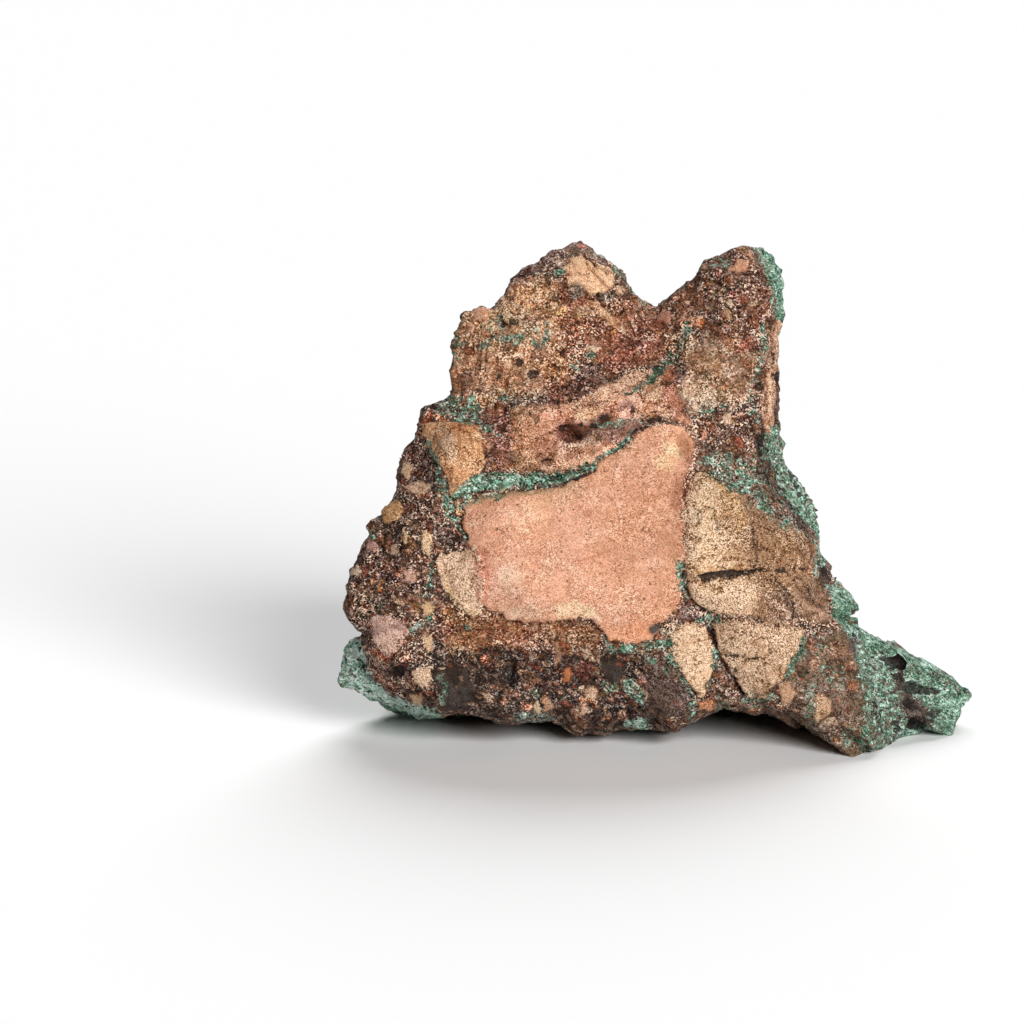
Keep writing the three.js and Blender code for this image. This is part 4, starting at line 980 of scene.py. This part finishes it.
# The far side and the flanks carry a crust of malachite; brown rock shows through in places.
depth = face[:, 2] + 5 * fractal(face, 13, 3, 71)
turned = 1 - smooth(-0.45, 0.2, facing)
crust = np.maximum(turned * smooth(*BESIDE_CRUST, depth), smooth(*BEHIND_CRUST, depth))
crust *= smooth(*CRUST_BAND, height)
bare = smooth(0.34, 0.56, fractal(face, 12, 3, 75)) * (1 - near_sprays(face))
crust_reach = crust * CRUST_GAINS + CRUST_STARTS - BARE_LOSES * bare * crust
crust_tone = 0.9 * fractal(face, 16, 2, 78) - 0.1
tone = np.where(crust_reach > green, crust_tone, tone)
green = np.maximum(green, crust_reach)
flank = 1 - front
towards(share, flank, 0.4)
towards(grain, crust * flank, 0.5)

# Relief: broken rock, grains, botryoidal knobs on the crust, beads on the seams.
warp = np.stack([noise(face, 1.6, s) for s in (81, 82, 83)], 1)
first, second, pick, size = cells(face + 0.5 * warp, BLOCKS, 84)
blocks = np.where(pick > 0.4, 0.2 + 0.5 * size, -0.1) * smooth(0.0, 0.5, second - first)


def domes(spacing, smallest, largest, seed, bend=0.0):
    """Round knobs scattered about spacing millimetres apart, from 0 between them to 1."""
    first, _, pick, _ = cells(face + bend * warp, spacing, seed)
    return np.sqrt(np.maximum(0, 1 - (first / (smallest + (largest - smallest) * pick)) ** 2))


lobes = domes(*LOBES, 87, 0.6)
knobs = domes(*KNOBS, 91, 0.3)
beads = domes(*BEADS, 95)
seeds = domes(*SEEDS, 98)
mineral = smooth(-1.5, 1.5, green)
on_crust = smooth(-2, 3, crust_reach)
pits = smooth(0.25, 0.6, noise(face, 1.5, 103)) * (1 - slab)
texture = 0.30 * fractal(face, 3.2, 3, 101) + 0.26 * noise(face, 0.85, 105) - 0.3 * pits
texture += 0.4 * blocks * (1 - mineral) * share / 0.5 + 0.22 * bed * drawn
# Gaps between the blocks: sunk into the relief, and darkened further down as painted shade.
gaps = (1 - smooth(0.0, 0.32, second - first)) * smooth(-0.3, 0.5, noise(face, 3.1, 104))
gaps *= (1 - mineral) * (1 - bed) * smooth(0.02, 0.2, share)
texture -= 0.3 * gaps
texture *= np.clip(1 - 1.5 * calm, 0.12, 1)
veins = mineral * (1 - on_crust) * (0.36 * seeds + 0.26 * beads - 0.24)
knobbly = on_crust * (2.2 * lobes + 1.3 * knobs + 0.5 * beads + 0.12 * seeds - 1.9)
relief = texture * (1 - 0.6 * on_crust) + veins + knobbly + rise
relief *= smooth(*GROUND_BAND, height)
# The crust is paler on its knobs and darker between them: partly its own colour, partly painted shade
# in the creases.
knob_tone_and_crease_shade = 0.7 * lobes + 1.3 * knobs + 0.7 * beads - 1.4
tone += on_crust * knob_tone_and_crease_shade + (1 - on_crust) * 0.5 * (seeds - 0.5)
# Painted shade: the low places of the relief and the gaps between blocks are darkened.
hollow_shade = np.clip(-(texture + 0.2 * knobbly) / 0.45, 0, 1)
tint *= shaded(-0.5 * hollow_shade * (1 - slab) - 0.7 * gaps)
grown = to_face(from_face(face) + normal * (relief / 1000)[:, None])
set_points(mesh, from_face(fitted(grounded(grown, height), 3, 9)))


def store(name, values):
    """Puts numbers, vectors or colours on the mesh's points, for its material to read."""
    width = values.shape[1] if values.ndim > 1 else 1
    attribute = mesh.attributes.new(name, "FLOAT" if width == 1 else "FLOAT_VECTOR", "POINT")
    attribute.data.foreach_set("value" if width == 1 else "vector", values.astype("f").ravel())


stored_values = {
    "sheet": face, "tint": np.clip(tint, 0.004, 0.95), "grain": grain, "share": share,
    "green": green, "tone": tone, "dark": dark,
}
for name, values in stored_values.items():
    store(name, values)

# The unseen sides take fewer triangles.
triangles = 2 * len(mesh.polygons)
group = stone.vertex_groups.new(name="coarse")
levels = np.round(LEVELS * (1 - smooth(*BACK_BAND, facing))).astype(int)
for level in range(1, LEVELS + 1):
    group.add(np.flatnonzero(levels == level).tolist(), level / LEVELS, "REPLACE")
thin = stone.modifiers.new("thin", "DECIMATE")
thin.ratio = min(1, MOST_TRIANGLES / triangles)
thin.vertex_group = "coarse"
graph = bpy.context.evaluated_depsgraph_get()
thinned = bpy.data.meshes.new_from_object(stone.evaluated_get(graph))
stone.modifiers.clear()
stone.vertex_groups.clear()
stone.data = thinned
thinned.name = "stone"
thinned.polygons.foreach_set("use_smooth", np.ones(len(thinned.polygons), bool))


# ---- Aragonite crystals on the far side ----

TWIST, STEP = 1664525, 1013904223  # of the random numbers, as in the part's own source
GOLDEN_TURN = math.pi * (3 - math.sqrt(5))
ROOT_RADIUS, SHOULDER_RADIUS, FLATTENED, TIP_ASIDE = 0.44, 0.5, 0.72, 0.16  # shares of a width
MEMBERS = 7  # slim crystals in a bundle
BEHIND = -110.0  # a depth behind the whole stone
CLEAR_OF_GROUND, LOWEST_TUFT = 0.001, 0.006  # heights, in metres
INSIDE_THE_OUTLINE = 4  # squares; the crystals don't show from the front
LEAST_BACKWARD = 0.35  # a tuft needs crust that faces backwards at least this much

# Crystals of a spray, in millimetres; fan is how far the outer ones lean.
STOUT = {"spread": 4.2, "fan": 0.85, "lengths": (5, 9.5), "widths": (1.5, 2.6)}
LONG = {"count": 150, "spread": 4.6, "fan": 1.5, "lengths": (4, 9), "widths": (0.28, 0.62)}
SHORT = {"count": 120, "spread": 7.0, "fan": 2.2, "lengths": (2, 5), "widths": (0.2, 0.42)}

# Tufts of small needles round the sprays, and a few strays, placed in squares of the sheet.
TUFTS_ROUND_A_SPRAY, TUFTS_AWAY, TUFT_SCALE = 15, (50, 105), 0.8
STRAYS, STRAYS_ACROSS, STRAYS_DOWN, STRAY_SCALE = 26, (400, 860), (290, 690), 0.55
TUFT_WIDTHS = (0.16, 0.36)


def stream(state):
    """The part's own random numbers, so that the stout crystals stand where the solid has them."""
    while True:
        state = (state * TWIST + STEP) % WORD
        yield state / WORD


def between(low, high, share):
    return low + (high - low) * share


def at_face(u, v, w):
    """A place on the face as one in the scene."""
    return Vector(from_face(np.array([[u, v, w]], float))[0])


def toward(u, v, w):
    """A direction on the face as one in the scene."""
    start, end = from_face(np.array([[0, 0, 0], [u, v, w]], float))
    return Vector(end - start)


def spokes(axis):
    """A function that gives the direction square to axis at a turn round it."""
    side = axis.orthogonal().normalized()
    up = axis.cross(side)
    return lambda turn, squash=1: side * math.cos(turn) + up * math.sin(turn) * squash


BACK = toward(0, 0, -1).normalized()
surface = BVHTree.FromObject(stone, bpy.context.evaluated_depsgraph_get())
prisms = []  # the points of each crystal: a ring at its root, a ring at its shoulder, its tip


def foot_at(u, v):
    """Where (u, v) meets the far side, and the surface's own direction there."""
    return surface.ray_cast(at_face(u, v, BEHIND), -BACK)[:2]


def prism(foot, axis, length, width, root, sides, shoulder):
    """A crystal with flat sides, a little irregular, whose tip is cut aslant above its shoulder."""
    spoke = spokes(axis)
    points = []
    for along, radius in ((-root, ROOT_RADIUS), (shoulder * length, SHOULDER_RADIUS)):
        for corner in range(sides):
            out = spoke(corner * 2 * math.pi / sides, FLATTENED if corner % 3 == 1 else 1)
            points.append(foot + (axis * along + out * radius * width) / 1000)
    points.append(foot + (axis * length + spoke(0) * TIP_ASIDE * width) / 1000)
    prisms.append(points)


def bundle(u, v, lean, length, width, chance):
    """A stout crystal of the solid, grown as a tight bundle of slim ones."""
    foot = foot_at(u, v)[0]
    if foot is None:
        return
    axis = toward(*lean, -1).normalized()
    spoke_at = spokes(axis)
    for member in range(MEMBERS):
        outward = member / (MEMBERS - 1)
        spoke = spoke_at(member * GOLDEN_TURN + next(chance))
        out = 0.42 * width * math.sqrt(outward)
        tilt = (axis + spoke * (0.02 + 0.13 * outward * next(chance))).normalized()
        tall = length * between(1.0, 0.62, outward * next(chance) + 0.1)
        slim = width * between(0.34, 0.5, next(chance))
        shoulder = between(0.86, 0.95, next(chance))
        prism(foot + spoke * out / 1000, tilt, tall, slim, 1.2, 6, shoulder)


def needles(u, v, seed, count, spread, fan, lengths, widths):
    """A spray of needles that spring from a patch of crust, the outer ones leaning further."""
    chance = stream(seed)
    middle, lie = foot_at(u, v)
    if lie is None:
        return
    heart = (lie + 0.8 * BACK).normalized()
    spoke_at = spokes(heart)
    for n in range(count):
        turn = n * GOLDEN_TURN + between(-0.5, 0.5, next(chance))
        reach = math.sqrt((n + 0.5) / count)
        shift = spread * reach * between(0.4, 1, next(chance))
        foot = foot_at(u + shift * math.cos(turn), v + shift * math.sin(turn))[0]
        stray = between(0.7, 1.3, next(chance))
        lean = fan * reach * stray + between(-0.12, 0.12, next(chance))
        length = between(*lengths, next(chance)) * between(1.15, 0.75, reach)
        width = between(*widths, next(chance))
        if foot is None:
            continue
        axis = (heart + spoke_at(turn) * lean).normalized()
        shoulder = between(0.8, 0.93, next(chance))
        prism(foot.lerp(middle, 0.15), axis, length, width, 0.8, 4, shoulder)


def stout_crystals(u, v, seed, count, spread, fan, lengths, widths):
    """The crystals that the solid has, one bundle each."""
    chance = stream(seed)
    own = stream(seed + 500)
    for n in range(count):
        turn = n / count * 2 * math.pi + next(chance)
        reach = math.sqrt((n + 0.3) / count)
        across, up = reach * math.cos(turn), reach * math.sin(turn)
        length = between(*lengths, next(chance))
        width = between(*widths, next(chance))
        bundle(u + spread * across, v + spread * up, (fan * across, fan * up), length, width, own)


for number, (sheet_x, sheet_y, count) in enumerate(SPRAYS):
    u, v = on_sheet(sheet_x, sheet_y)
    stout_crystals(u, v, 101 + number, count, **STOUT)
    needles(u, v, 201 + number, **LONG)
    needles(u, v, 301 + number, **SHORT)

scatter = stream(77)
tufts = []
for sheet_x, sheet_y, _ in SPRAYS:
    for n in range(TUFTS_ROUND_A_SPRAY):
        away, turn = between(*TUFTS_AWAY, next(scatter)), 2 * math.pi * next(scatter)
        tufts.append((sheet_x + away * math.cos(turn), sheet_y + away * math.sin(turn), TUFT_SCALE))
for n in range(STRAYS):
    sheet_x, sheet_y = between(*STRAYS_ACROSS, next(scatter)), between(*STRAYS_DOWN, next(scatter))
    tufts.append((sheet_x, sheet_y, STRAY_SCALE))
for number, (sheet_x, sheet_y, scale) in enumerate(tufts):
    u, v = on_sheet(sheet_x, sheet_y)
    size = scale * between(0.45, 1.5, next(scatter) ** 2)
    foot, lie = foot_at(u, v)
    if foot is None or lie.dot(BACK) < LEAST_BACKWARD or foot.z < LOWEST_TUFT:
        continue
    lengths = (1.6 * size, 4.2 * size)
    needles(u, v, 401 + number, int(26 + 24 * size), 1.5 * size, 1.7, lengths, TUFT_WIDTHS)

tips = np.array([points[-1] for points in prisms])
inside = area(*SILHOUETTE)(*to_sheet(to_face(tips))) > INSIDE_THE_OUTLINE
crystal_points, crystal_faces = [], []
for points, hidden in zip(prisms, inside):
    if not hidden or points[-1].z < CLEAR_OF_GROUND:
        continue
    start, sides = len(crystal_points), len(points) // 2
    crystal_points += points
    for corner in range(sides):
        after = (corner + 1) % sides
        low, high = start + corner, start + sides + corner
        crystal_faces.append((low, start + after, start + sides + after, high))
        crystal_faces.append((high, start + sides + after, start + 2 * sides))
crystal_mesh = bpy.data.meshes.new("aragonite")
crystal_mesh.from_pydata([tuple(p) for p in crystal_points], [], crystal_faces)
aragonite = added("aragonite", crystal_mesh)


# ---- Materials ----

PALEST = (0.93, 0.69, 0.49)  # no grain of the rock is paler than this
LEAST_WARM = (1.0, 0.78, 0.64)  # or has more green and blue than this, for its red
AS_LIT = 0.87  # the stone itself is this much darker than the surveyed colours
FINEST_GRAIN, FINE_GRAIN, MIDDLE_GRAIN = 0.15, 0.22, 0.48  # millimetres across
CHIPS = ((1.9, 0.5), (0.9, 0.6))  # small clasts: millimetres across, and how many of them there are
CHIP_COLOURS = [
    (0.0, (222, 186, 156)), (0.16, (196, 148, 120)), (0.34, (178, 126, 78)), (0.41, (150, 82, 58)),
    (0.5, (44, 33, 29)), (0.7, (120, 92, 76)), (0.86, (172, 124, 106)),
]
CRACKED_EVERY, SPECK_EVERY = 3.8, 1.1  # millimetres between the hairline cracks, and the specks
SPECK = (76, 42, 31)
MALACHITE_COLOURS = [
    (0.04, (18, 23, 18)), (0.22, (43, 66, 49)), (0.42, (76, 112, 87)), (0.56, (107, 147, 121)),
    (0.74, (155, 195, 173)), (0.95, (219, 238, 228)),
]
EARTH = (108, 86, 74)  # what shows between the grains of malachite
# The painted shade inside cracks, pits and vugs.
HOLE_SHADE = (34, 25, 21)
ARAGONITE_COLOURS = [(0.3, (206, 222, 210)), (0.5, (234, 238, 230)), (0.7, (250, 248, 240))]


class Value:
    """A number in a material: each step of arithmetic on it adds a node."""

    def __init__(self, nodes, socket):
        self.nodes = nodes
        self.socket = socket

    def __add__(self, other):
        return self.nodes.math("ADD", self, other)

    def __sub__(self, other):
        return self.nodes.math("SUBTRACT", self, other)

    def __mul__(self, other):
        return self.nodes.math("MULTIPLY", self, other)

    def __pow__(self, other):
        return self.nodes.math("POWER", self, other)

    def __rpow__(self, other):
        return self.nodes.math("POWER", other, self)

    __radd__, __rmul__ = __add__, __mul__


class Nodes:
    """A short way to write a material: each method adds a node and gives its output."""

    def __init__(self, name):
        self.material = bpy.data.materials.new(name)
        self.material.use_nodes = True
        self.tree = self.material.node_tree
        self.tree.nodes.clear()

    def add(self, kind, inputs=(), **settings):
        node = self.tree.nodes.new("ShaderNode" + kind)
        for key, value in settings.items():
            setattr(node, key, value)
        for key, value in dict(inputs).items():
            self.feed(node.inputs[key], value)
        return node

    def feed(self, socket, value):
        if isinstance(value, Value):
            value = value.socket
        if isinstance(value, bpy.types.NodeSocket):
            self.tree.links.new(value, socket)
        elif socket.type == "RGBA":
            socket.default_value = (*[float(n) for n in value], 1)
        else:
            socket.default_value = value

    def stored(self, name, output="Fac"):
        """What the mesh's points have under a name, as a number or as a vector."""
        socket = self.add("Attribute", attribute_name=name).outputs[output]
        return Value(self, socket) if output == "Fac" else socket

    def math(self, operation, *values, clamp=False):
        node = self.add("Math", enumerate(values), operation=operation, use_clamp=clamp)
        return Value(self, node.outputs[0])

    def clamped(self, value):
        return self.math("ADD", value, 0.0, clamp=True)

    def centred(self, value, scale=1.0):
        """A number from 0 to 1 as one from -scale to scale."""
        return self.math("MULTIPLY_ADD", value, 2.0 * scale, -scale)

    def step(self, value, low, high, to_low=0.0, to_high=1.0, kind="SMOOTHSTEP"):
        inputs = enumerate((value, low, high, to_low, to_high))
        return Value(self, self.add("MapRange", inputs, interpolation_type=kind).outputs[0])

    def vector(self, operation, a, b):
        return self.add("VectorMath", {0: a, 1: b}, operation=operation).outputs[0]

    def scaled(self, vector, scale):
        return self.add("VectorMath", {0: vector, "Scale": scale}, operation="SCALE").outputs[0]

    def turned(self, vector, degrees):
        inputs = {"Vector": vector, "Angle": math.radians(degrees)}
        return self.add("VectorRotate", inputs, rotation_type="Z_AXIS").outputs[0]

    def mix(self, amount, a, b, blend="MIX"):
        inputs = {"Factor": amount, 6: a, 7: b}
        return self.add("Mix", inputs, data_type="RGBA", blend_type=blend).outputs[2]

    def cloud(self, where, size, detail=2.0):
        inputs = {"Vector": where, "Scale": 1 / size, "Detail": detail, "Roughness": 0.6}
        return self.add("TexNoise", inputs)

    def noise(self, where, size, detail=2.0):
        """Smooth noise from 0 to 1."""
        return Value(self, self.cloud(where, size, detail).outputs["Fac"])

    def wobble(self, where, size, amount):
        """A vector that wanders by amount, over size."""
        colour = self.cloud(where, size, 1.0).outputs["Color"]
        return self.scaled(self.vector("SUBTRACT", colour, (0.5, 0.5, 0.5)), amount)

    def voronoi(self, where, size, **settings):
        return self.add("TexVoronoi", {"Vector": where, "Scale": 1 / size}, **settings).outputs

    def parts(self, colour):
        return [Value(self, part) for part in self.add("SeparateColor", {0: colour}).outputs]

    def grains(self, where, size):
        """Three random numbers for each grain of a size."""
        return self.parts(self.voronoi(where, size)["Color"])

    def edges(self, where, size):
        """How far a place is from the border between grains of a size, in units of the size."""
        return Value(self, self.voronoi(where, size, feature="DISTANCE_TO_EDGE")["Distance"])

    def ramp(self, value, stops, kind="LINEAR"):
        node = self.add("ValToRGB", {0: value})
        node.color_ramp.interpolation = kind
        elements = node.color_ramp.elements
        elements.remove(elements[1])
        for index, (place, colour) in enumerate(stops):
            element = elements[0] if index == 0 else elements.new(place)
            element.position = place
            element.color = (*linear(colour), 1)
        return node.outputs[0]

    def rocky(self, colour):
        """A colour of the rock, none of whose grains is bluish or paler than PALEST."""
        red = self.parts(colour)[0]
        colour = self.vector("MINIMUM", colour, self.scaled(LEAST_WARM, red))
        return self.vector("MINIMUM", colour, PALEST)

    def finish(self, **inputs):
        """Closes the material with a shader that has these inputs."""
        named = {name.replace("_", " "): value for name, value in inputs.items()}
        shader = self.add("BsdfPrincipled", named)
        out = self.add("OutputMaterial")
        self.tree.links.new(shader.outputs[0], out.inputs["Surface"])
        return self.material


def chips(n, place, share, tint):
    """The matrix's small clasts: colour with them, their rims, their height and where they are."""
    where = n.vector("MULTIPLY", n.turned(place, 35), (0.85, 1.35, 1.0))
    colour, rims, lumps, quiet = tint, 0.0, 0.0, 0.0
    for size, often in CHIPS:
        kind, fade, chance = n.grains(where, size)
        chosen = n.math("LESS_THAN", chance, share * often)
        chip = n.mix(fade * 0.5 + 0.3, n.ramp(kind, CHIP_COLOURS, "CONSTANT"), tint)
        colour = n.mix(chosen * 0.85, colour, chip)
        rims += n.step(n.edges(where, size), 0.02, 0.11, 1.0, 0.0) * chosen
        lumps += chosen * (0.3 * size)
        quiet = n.math("MAXIMUM", quiet, chosen)
    return colour, rims, lumps, quiet


def hairlines(n, sheet, grain):
    """Hairline cracks through the larger clasts."""
    bent = n.vector("ADD", sheet, n.wobble(sheet, 0.7, 2.4))
    hair = n.step(n.edges(bent, CRACKED_EVERY), 0.008, 0.042, 1.0, 0.0)
    return hair * n.step(n.noise(sheet, 2.2), 0.43, 0.57) * n.step(grain, 0.35, 0.65)


def specked(n, place, colour):
    """The colour with dark specks, which the smooth clasts have too."""
    speck = n.voronoi(place, SPECK_EVERY)
    radius = n.step(n.parts(speck["Color"])[0], 0.45, 1.0, 0.0, 0.22, "LINEAR")
    dot = n.math("LESS_THAN", speck["Distance"], radius)
    return n.mix(dot * 0.75, colour, linear(SPECK))


def stone_material():
    n = Nodes("breccia_and_malachite")
    sheet, tint = n.stored("sheet", "Vector"), n.stored("tint", "Vector")
    share, grain, green = n.stored("share"), n.stored("grain"), n.stored("green")
    place = n.vector("ADD", sheet, n.wobble(sheet, 0.7, 0.7))
    colour, rims, lumps, quiet = chips(n, place, share, tint)

    # Sand grains: the dark matrix has bright and dark ones, a light clast mostly dark ones.
    finest = n.grains(sheet, FINEST_GRAIN)[0]
    fine, _, fine_chance = n.grains(sheet, FINE_GRAIN)
    middle, hue, middle_chance = n.grains(place, MIDDLE_GRAIN)
    fine = (fine - finest) * n.step(share, 0.05, 0.3) + finest
    both = (middle - fine) * (share * 0.2 + 0.03) + fine
    bend = share * (quiet * -0.75 + 1.0) * 1.1 + 0.4
    light = (both**bend - 0.5**bend) * (share * 6.4 + 6.4) + n.centred(n.noise(sheet, 1.2), 1.2)
    light *= quiet * -0.4 + 1.0
    light *= grain * n.step(n.noise(sheet, 4.0, 1.0), 0.3, 0.7, 0.55, 1.25)
    light += rims * -1.3 + hairlines(n, sheet, grain) * -2.6

    # The darker a grain, the more of its green and blue is gone; some are warmer, some cooler.
    factors = enumerate([2.0 ** (light * much) for much in DEEPEN.tolist()])
    factor = n.add("CombineXYZ", factors).outputs[0]
    warm = n.mix(n.step(hue, 0.6, 0.95), (1.0, 1.0, 1.0), (1.25, 0.88, 0.68))
    cool = n.mix(n.step(hue, 0.4, 0.05), (1.0, 1.0, 1.0), (0.84, 1.0, 0.98))
    hued = n.mix(1.0, colour, n.mix(1.0, warm, cool, "MULTIPLY"), "MULTIPLY")
    colour = n.mix(n.clamped(share * 1.4 + 0.2), colour, hued)
    colour = specked(n, place, n.rocky(n.vector("MULTIPLY", colour, factor)))

    # Openings, painted nearly black as painted shade inside them, whose lips are pale where they are
    # lined with malachite.
    edge = n.stored("dark") + n.centred(n.noise(sheet, 1.0, 3.0), 4.5) + n.centred(middle_chance, 0.8)
    opening = n.step(edge, -0.6, 0.7)
    lip = n.step(edge, -3.6, -1.2)

    # Malachite, whose edge breaks up into grains.
    ragged = n.centred(n.noise(sheet, 1.1, 3.0), 7.0) + n.centred(middle_chance, 1.9)
    malachite = n.step(green + ragged + n.centred(fine_chance, 0.9), -0.3, 0.5)
    fibres = n.noise(n.vector("MULTIPLY", n.turned(place, 28), (0.25, 1.2, 0.6)), 0.4, 1.0)
    shade = n.stored("tone") * 0.2 + 0.47 + lip * 0.22
    shade += n.centred(middle, 0.12) + n.centred(n.noise(sheet, 2.4, 3.0), 0.5)
    shade += (n.centred(fine, 0.3) + n.step(fibres, 0.25, 0.75, -0.22, 0.24)) * grain
    earth = n.rocky(n.vector("MULTIPLY", linear(EARTH), factor))
    earthy = n.step(middle_chance, 0.66, 0.7) + n.step(n.noise(sheet, 1.9), 0.6, 0.68)
    earthy = n.clamped(earthy) * n.step(green, 1.0, 6.0, 0.7, 0.25)
    colour = n.mix(malachite, colour, n.mix(earthy, n.ramp(shade, MALACHITE_COLOURS), earth))

    colour = n.mix(opening * 0.9, colour, n.scaled(linear(HOLE_SHADE), fine * 1.2 + 0.5))
    height = middle * grain * 0.4 + lumps
    bump = n.add("Bump", {"Strength": 0.5, "Distance": 0.0004, "Height": height})
    return n.finish(
        Base_Color=n.scaled(colour, AS_LIT),
        Normal=bump.outputs[0],
        Roughness=malachite * -0.3 + 0.82,
        Specular_IOR_Level=0.2,
    )


def aragonite_material():
    n = Nodes("aragonite")
    where = n.scaled(n.add("TexCoord").outputs["Object"], 1000.0)
    streak = n.noise(n.vector("MULTIPLY", where, (1.0, 0.2, 1.0)), 0.4)
    bump = n.add("Bump", {"Strength": 0.25, "Distance": 0.0002, "Height": streak})
    return n.finish(
        Base_Color=n.ramp(n.noise(where, 2.5, 3.0), ARAGONITE_COLOURS),
        Normal=bump.outputs[0],
        Roughness=0.28,
        Specular_IOR_Level=0.5,
        Subsurface_Weight=0.25,
        Subsurface_Scale=0.001,
    )


stone.data.materials.clear()
stone.data.materials.append(stone_material())
crystal_mesh.materials.append(aragonite_material())
for piece in (stone, aragonite):
    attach(piece, "root")
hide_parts("specimen")

# ---- Camera, floor and light ----

SENSOR = 36.0
FRAME_SQUARES = 1024
FLOOR = 12.0
FLOOR_COLOUR = (0.92, 0.92, 0.92)
FILL = 0.03  # light from all round

scene = bpy.context.scene
scene.view_settings.view_transform = "Standard"
scene.view_settings.look = "None"

camera = added("camera", bpy.data.cameras.new("camera"))
camera.data.sensor_width = SENSOR
camera.data.lens = SENSOR * EYE / (FRAME_SQUARES * SQUARE)
camera.data.clip_end = 100
camera.location = at_face(CENTRE_U, CENTRE_V, EYE)
ahead = at_face(CENTRE_U, CENTRE_V, 0) - camera.location
camera.rotation_euler = ahead.to_track_quat("-Z", "Y").to_euler()
scene.camera = camera

floor_mesh = bpy.data.meshes.new("floor")
corners = [(-FLOOR, -FLOOR, 0), (FLOOR, -FLOOR, 0), (FLOOR, FLOOR, 0), (-FLOOR, FLOOR, 0)]
floor_mesh.from_pydata(corners, [], [(0, 1, 2, 3)])
floor_material = Nodes("floor").finish(Base_Color=FLOOR_COLOUR, Roughness=0.95, Specular_IOR_Level=0.05)
floor_mesh.materials.append(floor_material)
added("floor", floor_mesh)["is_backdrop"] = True

world = bpy.data.worlds.new("studio")
scene.world = world
world.use_nodes = True
background = world.node_tree.nodes["Background"]
background.inputs["Color"].default_value = (1, 1, 1, 1)
background.inputs["Strength"].default_value = FILL


def sun(name, travel, strength, spread):
    """A distant soft lamp whose light travels along travel, spread over some degrees."""
    light = bpy.data.lights.new(name, "SUN")
    light.energy = strength
    light.angle = math.radians(spread)
    added(name, light).rotation_euler = Vector(travel).to_track_quat("-Z", "Y").to_euler()


sun("front", (-0.42, 0.8, -0.42), 3.6, 30)
sun("back", (-0.1, -0.7, -0.62), 2.7, 44)

low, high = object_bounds()
